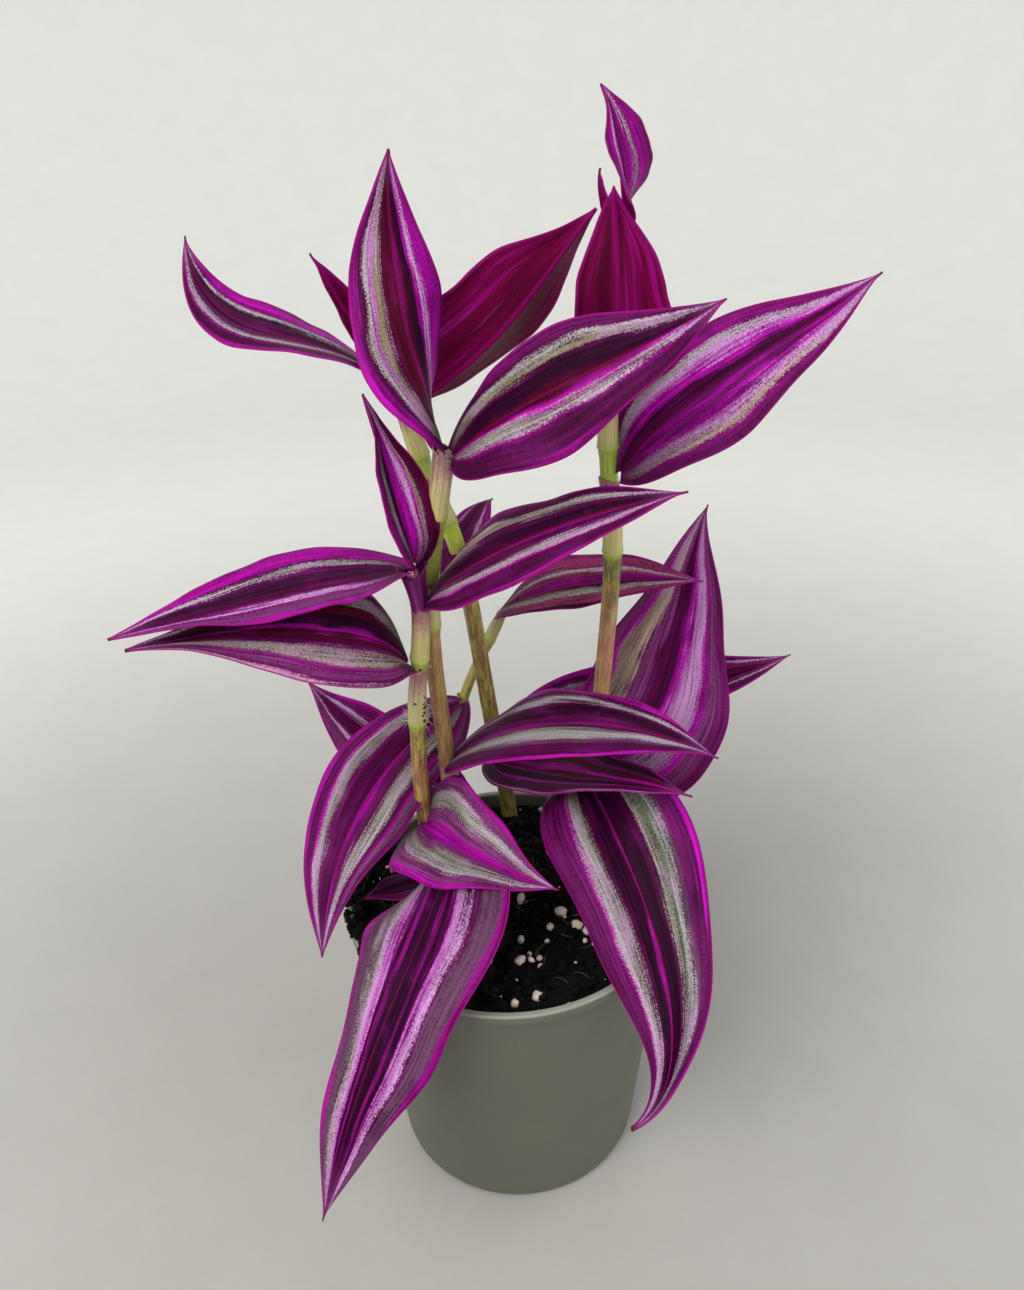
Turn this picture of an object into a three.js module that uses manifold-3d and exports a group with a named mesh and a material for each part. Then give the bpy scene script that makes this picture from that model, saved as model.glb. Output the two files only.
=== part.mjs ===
// A potted tradescantia: a tapered nursery pot full of soil, five upright stems and their
// leaves. Millimetres, +Z up, with the origin at the centre of the pot's foot. The plant is
// seen from the front along +Y, with +X to the right.
import * as THREE from 'three';
import { mergeVertices } from 'three/addons/utils/BufferGeometryUtils.js';
import Module from 'manifold-3d';

const wasm = await Module();
wasm.setup();

// Pot
const POT_HEIGHT = 95;
const RIM_RADIUS = 50;
const FOOT_RADIUS = 39.4;
const FOOT_ROUNDING = 3;
const WALL = 1.4;
const FLOOR = 2;
const LIP_HEIGHT = 3.5;
const LIP_DEPTH = 0.6;
const POT_SIDES = 48;
const DRAIN = { count: 6, radius: 3, circle: 26, sides: 12 };

// Soil
const SOIL_LEVEL = 90.5;
const SOIL_MOUND = 2;
const SOIL_RINGS = 9;
const SOIL_SIDES = 40;
const CRUMB_RELIEF = 0.5;
const GRAINS = { count: 26, smallest: 1.2, largest: 2.2, seed: 11 };

// Gaps between pieces that touch on the real plant
const GAP = 0.3;
const ROOM = GAP + 0.05;

// Stems: radius at the foot and at the tip, the heights between which each leaf sheath wraps the
// stem, and the path of the axis from the buried foot up. A swollen node sits at each sheath's
// foot.
const STEM_FOOT = 58;
const STEM_SIDES = 8;
const STEM_STEP = 8;
const SHEATH_STEP = 0.3;
const SHEATH_RIM = 0.6;
const NODE_BULGE = 0.3;
const NODE_LENGTH = 1.8;
const STEMS = {
  a: {
    name: 'stem_a_front_left', radius: [2.55, 2.05], sheaths: [[156, 176], [178, 195]],
    path: [[-16, 1, STEM_FOOT], [-18, 2, 94], [-24, 4, 114], [-24, 2, 158], [-20, -3, 193], [-21, -5, 207]],
  },
  b: {
    name: 'stem_b_front_middle', radius: [2.5, 2.3], sheaths: [[125, 136], [185, 199], [218, 236]],
    path: [[-14, 15, STEM_FOOT], [-15, 14, 93], [-17, 11, 134], [-18, 4.5, 192], [-11, -1, 237]],
  },
  c: {
    name: 'stem_c_back_middle', radius: [2.75, 2.3], sheaths: [[108, 119], [208, 221], [228, 243]],
    path: [[2, 38, STEM_FOOT], [0, 41, 96], [-4, 36, 134], [-11, 26, 199], [-18, 21, 224], [-22, 19, 243]],
  },
  d: {
    name: 'stem_d_right', radius: [2.7, 2.2],
    sheaths: [[104, 115], [200, 222], [231, 249], [270, 285]],
    path: [
      [26, 29, STEM_FOOT], [27, 27, 91], [30, 22, 152], [32, 16, 201], [30, 12, 230], [30, 11, 261],
      [31, 9.5, 286],
    ],
  },
  e: {
    name: 'stem_e_back_thin', radius: [1.75, 1.6], sheaths: [[132, 139], [158, 168]],
    path: [[-24, 34, STEM_FOOT], [-21, 37, 102], [-13, 41, 139], [1, 46, 168]],
  },
};

// Leaves: blades with a rounded base, a long drawn-out tip and a channel along the midrib.
const BLADE_THICKNESS = 0.8;
const BLADE_ARCH = 25;
const BLADE_TAPER = 1.2;
const BASE_LOBE = 3;
const WAVE_HEIGHT = 0.5;
const WAVES = 2.5;
const BLADE_STATIONS = 12;
const BLADE_POINTS = 5;
const BLADE_ENDS = [0.005, 0.985];
const RIB_STEPS = 24;

// base: where the blade leaves its stem. heading and rise: the midrib's direction at the base,
// the middle and the tip, in degrees (heading 0 is +X and 90 is +Y, rise 90 is straight up).
// roll: turn of the blade about its midrib at the base and the tip. fold: how steeply each half
// leaves the midrib. belly: where along the blade it is widest. lean: the share by which the half
// on the left, seen from the base, is wider than the mean.
const leaf = (name, base, heading, rise, length, width, roll, fold, belly, lean = 0) =>
  ({ name, base, heading, rise, length, width, roll, fold, belly, lean });
const LEAVES = [
  leaf('leaf_a_top_up', [-21, -5, 208.7], [152, 130, 154], [84, 69, 77], 43, 19, [-5, -7], 44, 0.28),
  leaf('leaf_a_left_upper', [-23, -7, 207], [170, 208, 196], [-7, 0, -8], 73, 26, [4, 25], 21, 0.29),
  leaf('leaf_a_left_lower', [-24.9, -1, 177], [236, 195, 209], [52, 12, 5], 76, 31, [41, 16], 22, 0.29),
  leaf('leaf_a_mid_right', [-18, -4, 197], [-34, -20, -16], [48, 27, 17], 77, 27, [-21, -41], 11, 0.31),
  leaf('leaf_a_low_front', [-24, 2, 121], [-63, -45, -24], [19, 2, 1], 54, 33, [-41, -27], 30, 0.23),
  leaf('leaf_a_low_left', [-21, 3, 107], [-71, -124, -132], [44, -42, -65], 126, 40, [-55, 54], 7, 0.3, 0.08),
  leaf('leaf_a_low_under', [-23, 2, 100], [-139, -153, -150], [0, 6, 3], 24, 15, [-2, 5], 14, 0.30),
  leaf('leaf_b_top_up', [-12, -1, 238], [198, 117, 124], [83, 73, 115], 66.5, 28, [-13, 8], -4, 0.34),
  leaf('leaf_b_top_right', [-9, -2, 235], [-37, -17, 10], [42, 28, 28], 75, 30, [-51, -71], 10, 0.34),
  leaf('leaf_b_back_up', [-17, 6.5, 196], [92, 62, 68], [-30, 28, -14], 47, 22, [12, 6], 8, 0.30),
  leaf('leaf_b_low_right', [-16, 8, 138], [-23, -22, -6], [46, 13, -30], 86, 30, [-1, -27], 15, 0.33),
  leaf('leaf_c_top_left', [-25, 20, 243], [181, 161, 121], [70, 13, 96], 73, 25, [-21, 35], 15, 0.37),
  leaf('leaf_c_top_young', [-23.3, 17.5, 245.4], [190, 221, 214], [66, 61, 59], 41, 13, [-14, -27], 30, 0.30),
  leaf('leaf_c_top_right', [-21, 20, 242], [15, -9, -18], [19, 47, 50], 68, 36, [53, 52], 42, 0.37),
  leaf('leaf_c_low_right', [-4, 33, 120], [-38, -48, -40], [8, 22, 9], 81, 28, [-4, -7], 19, 0.31),
  leaf('leaf_c_low_back', [-2, 39, 117], [22, 7, 28], [27, 10, 4], 107, 30, [-32, -36], 18, 0.34),
  leaf('leaf_d_top_tip', [33, 8, 287], [213, 145, 177], [85, 77, 64], 27, 16, [2, 26], 28, 0.32, -0.25),
  leaf('leaf_d_top_roll', [29, 11.6, 285.6], [179, 190, 181], [72, 80, 99], 11, 4, [-4, -4], 44, 0.29),
  leaf('leaf_d_upper_up', [30, 7, 251], [-89, -72, -91], [62, 93, 100], 43, 27, [-6, -1], -3, 0.34),
  leaf('leaf_d_mid_right', [33, 10, 225], [-37, -11, -19], [61, 35, 43], 77, 29, [-69, -57], 12, 0.36),
  leaf('leaf_d_low_up', [30.5, 26.5, 124], [8, 40, 17], [30, 71, 70], 89, 44, [-45, -47], 14, 0.25),
  leaf('leaf_d_low_front', [28, 22, 116], [-106, -71, -148], [54, -39, 18], 123, 41, [-14, -29], 17, 0.30),
  leaf('leaf_e_top_right', [1, 46, 168], [-36, -12, -27], [44, 11, 4], 66, 23, [-6, -48], 21, 0.32),
  leaf('leaf_e_left_front', [-14, 37, 140], [-140, -121, -95], [-9, -27, -58], 92, 34, [11, 8], 13, 0.35),
  leaf('leaf_e_low_left', [-16, 37, 109], [187, 163, 170], [16, 36, 58], 62, 26, [26, 33], 18, 0.37),
];

// Leaves that are pressed against neighbours near the stem, and are trimmed back from them.
const TRIMMING = 4 * GAP;
const TRIMMED_BY = {
  leaf_d_low_up: ['leaf_d_low_front'],
  leaf_c_top_young: ['leaf_c_top_right'],
  leaf_a_low_front: ['leaf_e_left_front', 'leaf_a_low_left'],
};

const finish = (color, roughness) => new THREE.MeshStandardMaterial({ color, roughness, metalness: 0 });
const POT_PLASTIC = finish(0x74766b, 0.55);
const DARK_SOIL = finish(0x1a1512, 0.95);
const STEM_GREEN = finish(0x8f8a4a, 0.6);
const LEAF_PURPLE = finish(0x6a1064, 0.45);

// ---------------------------------------------------------------- small helpers

const radians = (degrees) => THREE.MathUtils.degToRad(degrees);

// A repeatable random number from 0 to 1, the same on each run.
function randomFrom(seed) {
  let state = seed;
  return () => {
    state = (state * 1664525 + 1013904223) % 4294967296;
    return state / 4294967296;
  };
}

// A value that passes through three given ones at 0, 1/2 and 1.
function through([start, middle, end], t) {
  return start * (1 - t) * (1 - 2 * t) + middle * 4 * t * (1 - t) + end * t * (2 * t - 1);
}

function signedVolume(positions, index) {
  const [a, b, c] = [new THREE.Vector3(), new THREE.Vector3(), new THREE.Vector3()];
  let volume = 0;
  for (let i = 0; i < index.length; i += 3) {
    a.fromArray(positions, 3 * index[i]);
    b.fromArray(positions, 3 * index[i + 1]);
    c.fromArray(positions, 3 * index[i + 2]);
    volume += a.dot(b.cross(c)) / 6;
  }
  return volume;
}

// A closed geometry from points and triangles, with its faces turned outwards.
function closedGeometry(positions, index) {
  const outward = signedVolume(positions, index) > 0 ? index : index.slice().reverse();
  const geometry = new THREE.BufferGeometry();
  geometry.setAttribute('position', new THREE.Float32BufferAttribute(positions, 3));
  geometry.setIndex(outward);
  return geometry;
}

function bareGeometry(geometry) {
  const copy = geometry.clone();
  copy.deleteAttribute('normal');
  copy.deleteAttribute('uv');
  const merged = mergeVertices(copy, 1e-4);
  return closedGeometry(Array.from(merged.attributes.position.array), Array.from(merged.index.array));
}

function toSolid(geometry) {
  const bare = bareGeometry(geometry);
  return new wasm.Manifold(new wasm.Mesh({
    numProp: 3,
    vertProperties: new Float32Array(bare.attributes.position.array),
    triVerts: new Uint32Array(bare.index.array),
  }));
}

function toGeometry(solid) {
  const mesh = solid.getMesh();
  return closedGeometry(Array.from(mesh.vertProperties), Array.from(mesh.triVerts));
}

// Joins rings of equal point counts into a tube with flat ends.
function tubeGeometry(rings) {
  const count = rings[0].length;
  const last = (rings.length - 1) * count;
  const index = [];
  for (let ring = 0; ring < rings.length - 1; ring++) {
    for (let i = 0; i < count; i++) {
      const [a, b] = [ring * count + i, ring * count + (i + 1) % count];
      index.push(a, b, b + count, a, b + count, a + count);
    }
  }
  for (let i = 1; i < count - 1; i++) {
    index.push(0, i + 1, i, last, last + i, last + i + 1);
  }
  return closedGeometry(rings.flat().flatMap((point) => point.toArray()), index);
}

// ---------------------------------------------------------------- pot and soil

// The inner wall's radius at a height.
function innerRadius(height) {
  return THREE.MathUtils.mapLinear(height, 0, POT_HEIGHT, FOOT_RADIUS, RIM_RADIUS - LIP_DEPTH) - WALL;
}

function potProfile() {
  const outer = (height) => innerRadius(height) + WALL;
  const rounding = [0, 30, 60, 90].map(radians).map((angle) => new THREE.Vector2(
    outer(FOOT_ROUNDING) - FOOT_ROUNDING * (1 - Math.sin(angle)),
    FOOT_ROUNDING * (1 - Math.cos(angle)),
  ));
  const lipFoot = POT_HEIGHT - LIP_HEIGHT;
  return [
    new THREE.Vector2(0, 0),
    ...rounding,
    new THREE.Vector2(outer(lipFoot - LIP_DEPTH), lipFoot - LIP_DEPTH),
    new THREE.Vector2(RIM_RADIUS - LIP_DEPTH / 3, lipFoot),
    new THREE.Vector2(RIM_RADIUS, POT_HEIGHT - LIP_DEPTH),
    new THREE.Vector2(RIM_RADIUS - LIP_DEPTH, POT_HEIGHT),
    new THREE.Vector2(innerRadius(POT_HEIGHT) + LIP_DEPTH, POT_HEIGHT),
    new THREE.Vector2(innerRadius(POT_HEIGHT - LIP_DEPTH), POT_HEIGHT - LIP_DEPTH),
    new THREE.Vector2(innerRadius(FLOOR), FLOOR),
    new THREE.Vector2(0, FLOOR),
  ];
}

function potGeometry() {
  let pot = toSolid(new THREE.LatheGeometry(potProfile(), POT_SIDES).rotateX(Math.PI / 2));
  for (let i = 0; i < DRAIN.count; i++) {
    const angle = 2 * Math.PI * (i + 0.5) / DRAIN.count;
    const drain = new THREE.CylinderGeometry(DRAIN.radius, DRAIN.radius, 3 * FLOOR, DRAIN.sides);
    drain.rotateX(Math.PI / 2);
    drain.translate(DRAIN.circle * Math.cos(angle), DRAIN.circle * Math.sin(angle), FLOOR / 2);
    pot = pot.subtract(toSolid(drain));
  }
  return toGeometry(pot);
}

// The soil's height: a low mound with crumbs, level where it meets the wall.
function soilHeight(x, y) {
  const inward = 1 - (x * x + y * y) / innerRadius(SOIL_LEVEL) ** 2;
  const crumbs = Math.sin(0.5 * x + 0.2 * y)
    + Math.sin(0.3 * x - 0.4 * y + 2)
    + Math.sin(0.6 * y - 0.2 * x);
  return SOIL_LEVEL + SOIL_MOUND * inward + CRUMB_RELIEF * crumbs * Math.min(1, 4 * inward);
}

function soilBody() {
  const top = [];
  for (let ring = 0; ring <= SOIL_RINGS; ring++) {
    top.push(new THREE.Vector2((innerRadius(SOIL_LEVEL) - GAP) * (1 - ring / SOIL_RINGS), SOIL_LEVEL));
  }
  const foot = FLOOR + GAP;
  const profile = [new THREE.Vector2(0, foot), new THREE.Vector2(innerRadius(foot) - GAP, foot), ...top];
  const body = new THREE.LatheGeometry(profile, SOIL_SIDES).rotateX(Math.PI / 2);
  const position = body.attributes.position;
  for (let i = 0; i < position.count; i++) {
    if (position.getZ(i) > foot + 1) {
      position.setZ(i, soilHeight(position.getX(i), position.getY(i)));
    }
  }
  return toSolid(body);
}

// How far a place on the soil is from a stem's surface.
function distanceFromStem(stem, x, y) {
  const centre = stemCurve(stem).getPoint(placeAtHeight(stemCurve(stem), SOIL_LEVEL));
  return Math.hypot(centre.x - x, centre.y - y) - stem.radius[0];
}

// Perlite grains and coarse crumbs, half sunk in the soil at random places.
function soilGrains() {
  const random = randomFrom(GRAINS.seed);
  const grains = [];
  while (grains.length < GRAINS.count) {
    const radius = THREE.MathUtils.lerp(GRAINS.smallest, GRAINS.largest, random());
    const reach = (innerRadius(SOIL_LEVEL) - 3 * radius) * Math.sqrt(random());
    const angle = 2 * Math.PI * random();
    const [x, y] = [reach * Math.cos(angle), reach * Math.sin(angle)];
    const nearest = Math.min(...Object.values(STEMS).map((stem) => distanceFromStem(stem, x, y)));
    if (nearest >= radius + 1) {
      const grain = new THREE.IcosahedronGeometry(radius, 0).rotateX(angle).rotateZ(3 * angle);
      grains.push(toSolid(grain.translate(x, y, soilHeight(x, y))));
    }
  }
  return grains;
}

function soilGeometry() {
  const filled = soilGrains().reduce((soil, grain) => soil.add(grain), soilBody());
  return toGeometry(Object.values(STEMS).reduce((soil, stem) => soil.subtract(stemRoom(stem)), filled));
}

// ---------------------------------------------------------------- stems

function stemCurve({ path }) {
  return new THREE.CatmullRomCurve3(path.map((point) => new THREE.Vector3(...point)));
}

// How far along the curve, from 0 to 1, the stem reaches a height.
function placeAtHeight(curve, height) {
  let [low, high] = [0, 1];
  for (let i = 0; i < 24; i++) {
    const middle = (low + high) / 2;
    if (curve.getPoint(middle).z < height) {
      low = middle;
    } else {
      high = middle;
    }
  }
  return (low + high) / 2;
}

function stemRadius(stem, height) {
  const [foot, tip] = [stem.path[0][2], stem.path.at(-1)[2]];
  let radius = THREE.MathUtils.mapLinear(height, foot, tip, ...stem.radius);
  for (const [low, high] of stem.sheaths) {
    const wrapped = height >= low && height <= high;
    radius += wrapped ? SHEATH_STEP : 0;
    radius += NODE_BULGE * Math.exp(-(((height - low) / NODE_LENGTH) ** 2));
  }
  return radius;
}

// Heights where the stem has a ring: even steps, and the ends of each node and sheath.
function stemHeights(stem) {
  const [foot, tip] = [stem.path[0][2], stem.path.at(-1)[2]];
  const steps = Math.round((tip - foot) / STEM_STEP);
  const even = Array.from({ length: steps + 1 }, (_, i) => foot + (tip - foot) * i / steps);
  const edges = stem.sheaths
    .flatMap(([low, high]) => [low - NODE_LENGTH, low, low + NODE_LENGTH, high, high + SHEATH_RIM])
    .filter((edge) => edge < tip - SHEATH_RIM / 3);
  const kept = even.filter((height) => edges.every((edge) => Math.abs(edge - height) > STEM_STEP / 4));
  return [...new Set([foot, ...kept, ...edges, tip])].sort((a, b) => a - b);
}

// The stem's solid, made larger all round by a margin.
function stemSolid(stem, margin = 0) {
  const curve = stemCurve(stem);
  const heights = stemHeights(stem);
  const rings = heights.map((height, at) => {
    const place = placeAtHeight(curve, height);
    const along = curve.getTangent(place);
    const side = new THREE.Vector3(0, 1, 0).cross(along).normalize();
    const front = along.clone().cross(side);
    const centre = curve.getPoint(place);
    if (at === 0) {
      centre.addScaledVector(along, -margin);
    }
    if (at === heights.length - 1) {
      centre.addScaledVector(along, margin);
    }
    return Array.from({ length: STEM_SIDES }, (_, i) => {
      const angle = 2 * Math.PI * i / STEM_SIDES;
      const radius = stemRadius(stem, height) + margin;
      return centre.clone()
        .addScaledVector(side, radius * Math.cos(angle))
        .addScaledVector(front, radius * Math.sin(angle));
    });
  });
  return toSolid(tubeGeometry(rings));
}

// The room a stem takes, with the gap that neighbouring pieces keep to it.
const stemRooms = new Map();
function stemRoom(stem) {
  if (!stemRooms.has(stem.name)) {
    stemRooms.set(stem.name, stemSolid(stem, ROOM));
  }
  return stemRooms.get(stem.name);
}

// ---------------------------------------------------------------- leaves

function halfWidth({ width, belly }, t) {
  const basePower = BLADE_TAPER * belly / (1 - belly);
  return width / 2 * (t / belly) ** basePower * ((1 - t) / (1 - belly)) ** BLADE_TAPER;
}

// The midrib's direction and the two directions across it: to the blade's side and out of its
// upper face.
function bladeFrame({ heading, rise, roll }, t) {
  const [turn, lift] = [radians(through(heading, t)), radians(through(rise, t))];
  const level = new THREE.Vector3(Math.cos(turn), Math.sin(turn), 0);
  const along = level.clone().multiplyScalar(Math.cos(lift)).setZ(Math.sin(lift));
  const face = level.clone().multiplyScalar(-Math.sin(lift)).setZ(Math.cos(lift));
  const side = new THREE.Vector3(-Math.sin(turn), Math.cos(turn), 0);
  const angle = -radians(THREE.MathUtils.lerp(roll[0], roll[1], t));
  return {
    along,
    side: side.clone().applyAxisAngle(along, angle),
    face: face.clone().applyAxisAngle(along, angle),
  };
}

function ribPoint(spec, t) {
  const point = new THREE.Vector3(...spec.base);
  for (let i = 0; i < RIB_STEPS; i++) {
    const step = t * spec.length / RIB_STEPS;
    point.addScaledVector(bladeFrame(spec, t * (i + 0.5) / RIB_STEPS).along, step);
  }
  return point;
}

// A point of the blade's middle surface: t from base to tip, s from one margin to the other.
function bladePoint(spec, t, s) {
  const { along, side, face } = bladeFrame(spec, t);
  const [fold, arch] = [radians(spec.fold), radians(BLADE_ARCH)];
  const half = halfWidth(spec, t) * (1 + spec.lean * Math.sign(s));
  const out = Math.sign(s) * half * (Math.sin(fold) - Math.sin(fold - arch * Math.abs(s))) / arch;
  const wave = WAVE_HEIGHT * s * s * Math.sin(2 * Math.PI * WAVES * t + 2 * s);
  const up = half * (Math.cos(fold - arch * Math.abs(s)) - Math.cos(fold)) / arch + wave;
  return ribPoint(spec, t)
    .addScaledVector(side, out)
    .addScaledVector(face, up)
    .addScaledVector(along, -BASE_LOBE * s * s * (1 - t) ** 6);
}

function bladeGrid(spec) {
  const grid = [];
  for (let i = 0; i < BLADE_STATIONS; i++) {
    const u = i / (BLADE_STATIONS - 1);
    const eased = (u + (1 - Math.cos(Math.PI * u)) / 2) / 2;
    const t = THREE.MathUtils.lerp(...BLADE_ENDS, eased);
    const row = [];
    for (let j = 0; j < BLADE_POINTS; j++) {
      row.push(bladePoint(spec, t, 2 * j / (BLADE_POINTS - 1) - 1));
    }
    grid.push(row);
  }
  return grid;
}

function gridNormal(grid, i, j) {
  const [rows, columns] = [grid.length - 1, grid[0].length - 1];
  const along = grid[Math.min(i + 1, rows)][j].clone().sub(grid[Math.max(i - 1, 0)][j]);
  const across = grid[i][Math.min(j + 1, columns)].clone().sub(grid[i][Math.max(j - 1, 0)]);
  return along.cross(across).normalize();
}

// Gives the grid its thickness. Both faces are split into the same triangles.
function bladeSolid(spec, thickness = BLADE_THICKNESS) {
  const grid = bladeGrid(spec);
  const [rows, columns] = [grid.length, grid[0].length];
  const faces = [thickness / 2, -thickness / 2].map((offset) => grid.map((row, i) => row.map(
    (point, j) => point.clone().addScaledVector(gridNormal(grid, i, j), offset),
  )));
  const place = (face, i, j) => (face * rows + i) * columns + j;
  const index = [];
  const margin = (from, to) => {
    const [a, b, c, d] = [place(0, ...from), place(1, ...from), place(1, ...to), place(0, ...to)];
    index.push(a, b, c, a, c, d);
  };
  for (let i = 0; i < rows - 1; i++) {
    for (let j = 0; j < columns - 1; j++) {
      const corners = [[i, j], [i + 1, j], [i + 1, j + 1], [i, j + 1]];
      const [a, b, c, d] = corners.map(([row, column]) => place(0, row, column));
      const [e, f, g, h] = corners.map(([row, column]) => place(1, row, column));
      index.push(a, b, c, a, c, d, e, g, f, e, h, g);
    }
    margin([i, 0], [i + 1, 0]);
    margin([i + 1, columns - 1], [i, columns - 1]);
  }
  for (let j = 0; j < columns - 1; j++) {
    margin([0, j + 1], [0, j]);
    margin([rows - 1, j], [rows - 1, j + 1]);
  }
  return toSolid(closedGeometry(faces.flat(2).flatMap((point) => point.toArray()), index));
}

// A leaf's blade, hollowed round the stems that it clasps and clear of its neighbours.
function leafGeometry(spec) {
  let blade = bladeSolid(spec);
  for (const stem of Object.values(STEMS)) {
    blade = blade.subtract(stemRoom(stem));
  }
  for (const neighbour of LEAVES.filter(({ name }) => TRIMMED_BY[spec.name]?.includes(name))) {
    const wider = { ...neighbour, width: neighbour.width + TRIMMING };
    blade = blade.subtract(bladeSolid(wider, BLADE_THICKNESS + TRIMMING));
  }
  return toGeometry(blade);
}

// ---------------------------------------------------------------- the whole plant

function addMesh(group, name, geometry, material) {
  const mesh = new THREE.Mesh(geometry, material);
  mesh.name = name;
  group.add(mesh);
}

const plant = new THREE.Group();
addMesh(plant, 'pot', potGeometry(), POT_PLASTIC);
addMesh(plant, 'soil', soilGeometry(), DARK_SOIL);
for (const stem of Object.values(STEMS)) {
  addMesh(plant, stem.name, toGeometry(stemSolid(stem)), STEM_GREEN);
}
for (const spec of LEAVES) {
  addMesh(plant, spec.name, leafGeometry(spec), LEAF_PURPLE);
}

export default plant;
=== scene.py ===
"""The looks of a potted tradescantia: striped leaves, jointed stems, dark soil and a plain pot.

+Z is up and +Y points away from the viewer. Places and sizes are in millimetres, and a mesh
is scaled to metres when it is made.
"""

import math
from collections import namedtuple
from types import SimpleNamespace

import bmesh
import bpy
import numpy as np
from mathutils import Matrix, Vector


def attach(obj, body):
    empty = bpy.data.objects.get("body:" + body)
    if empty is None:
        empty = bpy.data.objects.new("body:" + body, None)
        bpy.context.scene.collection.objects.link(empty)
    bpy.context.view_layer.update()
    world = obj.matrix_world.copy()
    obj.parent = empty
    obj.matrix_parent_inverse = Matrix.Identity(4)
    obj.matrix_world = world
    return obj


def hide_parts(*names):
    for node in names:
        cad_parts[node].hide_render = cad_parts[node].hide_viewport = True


MM = 0.001

# Camera: the picture's size and the focal length in pixels, and where the camera stands.
PICTURE = (1024, 1290)
FOCAL_PIXELS = 1025
SENSOR = 36
PITCH = 29.0
ROLL = -2.2
EYE = (3.5, -241.5, 315.0)

# Light: where the lamps point, in metres, and the even light from all round.
LAMP_TARGET = (0, 0, 0.15)
SKY_COLOUR = (0.93, 0.96, 1.0, 1)
SKY_STRENGTH = 0.83

# Pot
POT_HEIGHT = 95
RIM_RADIUS = 50
FOOT_RADIUS = 39.4
FOOT_ROUNDING = 3
WALL = 1.4
FLOOR = 2
LIP_HEIGHT = 3.5
LIP_DEPTH = 0.6
POT_SIDES = 192
HOLLOW_RADIUS = 32
HOLLOW_DEPTH = 1.2

# Soil
SOIL_LEVEL = 90.5
SOIL_MOUND = 2
CRUMB_RELIEF = 0.5
SOIL_RINGS = 90
SOIL_SIDES = 220
SOIL_FOOT = 2.4
CRUMBS = 1500
CRUMB_ROUGHNESS = 0.2
# Dark crumbs that lie over the pot's rim between two angles, where they make the rim dark.
RIM_CRUMBS = 90
RIM_CRUMB_ARC = (172, 222)
RIM_CRUMB_SIZE = (0.7, 1.9)
FIBRES = 60
FIBRE_LENGTH = (2.5, 8)
FIBRE_RADIUS = (0.12, 0.45)
SMALL_PERLITE = 70
PERLITE_ROUGHNESS = 0.1
# The larger perlite grains: place and radius.
PERLITE = [
    (-37.7, 1.5, 2.1), (3.2, -2.5, 1.9), (15.3, -8.0, 2.1), (19.7, -14.9, 2.0), (22.5, -16.7, 1.4),
    (2.8, -18.9, 1.1), (2.3, -28.6, 1.3), (5.5, -27.6, 1.0), (0.5, -41.6, 1.4), (6.9, -40.5, 1.7),
    (12.6, 31.1, 1.8), (13.7, 20.3, 1.7), (-17.5, 41.0, 1.7), (10.5, -20.5, 0.9), (24.5, -22.0, 1.0),
]

# Stems
STEM_FOOT = 58
STEM_SIDES = 36
STEM_STEP = 0.6
SHEATH_STEP = 0.3
SKIN = 0.16
# A stem's materials, in the order of its mesh's slots.
CORE, SHEATH, FUNNEL = range(3)
NODE_BULGE = 0.3
NODE_LENGTH = 1.8
# radius: at the foot and at the tip. sheaths: the heights between which a leaf sheath wraps the
# stem. funnel: the heights of the rolled foot of its topmost blades. path: points of its axis.
STEMS = {
    "a": dict(
        name="stem_a_front_left", radius=(2.55, 2.05), sheaths=[(156, 176), (178, 195)],
        funnel=(196, 208),
        path=[
            (-16, 1, STEM_FOOT), (-18, 2, 94), (-24, 4, 114), (-24, 2, 158), (-20, -3, 193), (-21, -5, 207),
        ],
    ),
    "b": dict(
        name="stem_b_front_middle", radius=(2.5, 2.3), sheaths=[(125, 136), (185, 199), (218, 236)],
        path=[(-14, 15, STEM_FOOT), (-15, 14, 93), (-17, 11, 134), (-18, 4.5, 192), (-11, -1, 237)],
    ),
    "c": dict(
        name="stem_c_back_middle", radius=(2.75, 2.3), sheaths=[(108, 119), (208, 221), (228, 243)],
        path=[(2, 38, STEM_FOOT), (0, 41, 96), (-4, 36, 134), (-11, 26, 199), (-18, 21, 224), (-22, 19, 243)],
    ),
    "d": dict(
        name="stem_d_right", radius=(2.7, 2.2), sheaths=[(104, 115), (200, 222), (231, 249), (270, 285)],
        path=[
            (26, 29, STEM_FOOT), (27, 27, 91), (30, 22, 152), (32, 16, 201), (30, 12, 230), (30, 11, 261),
            (31, 9.5, 286),
        ],
    ),
    "e": dict(
        name="stem_e_back_thin", radius=(1.75, 1.6), sheaths=[(132, 139), (158, 168)],
        path=[(-24, 34, STEM_FOOT), (-21, 37, 102), (-13, 41, 139), (1, 46, 168)],
    ),
}
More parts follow.
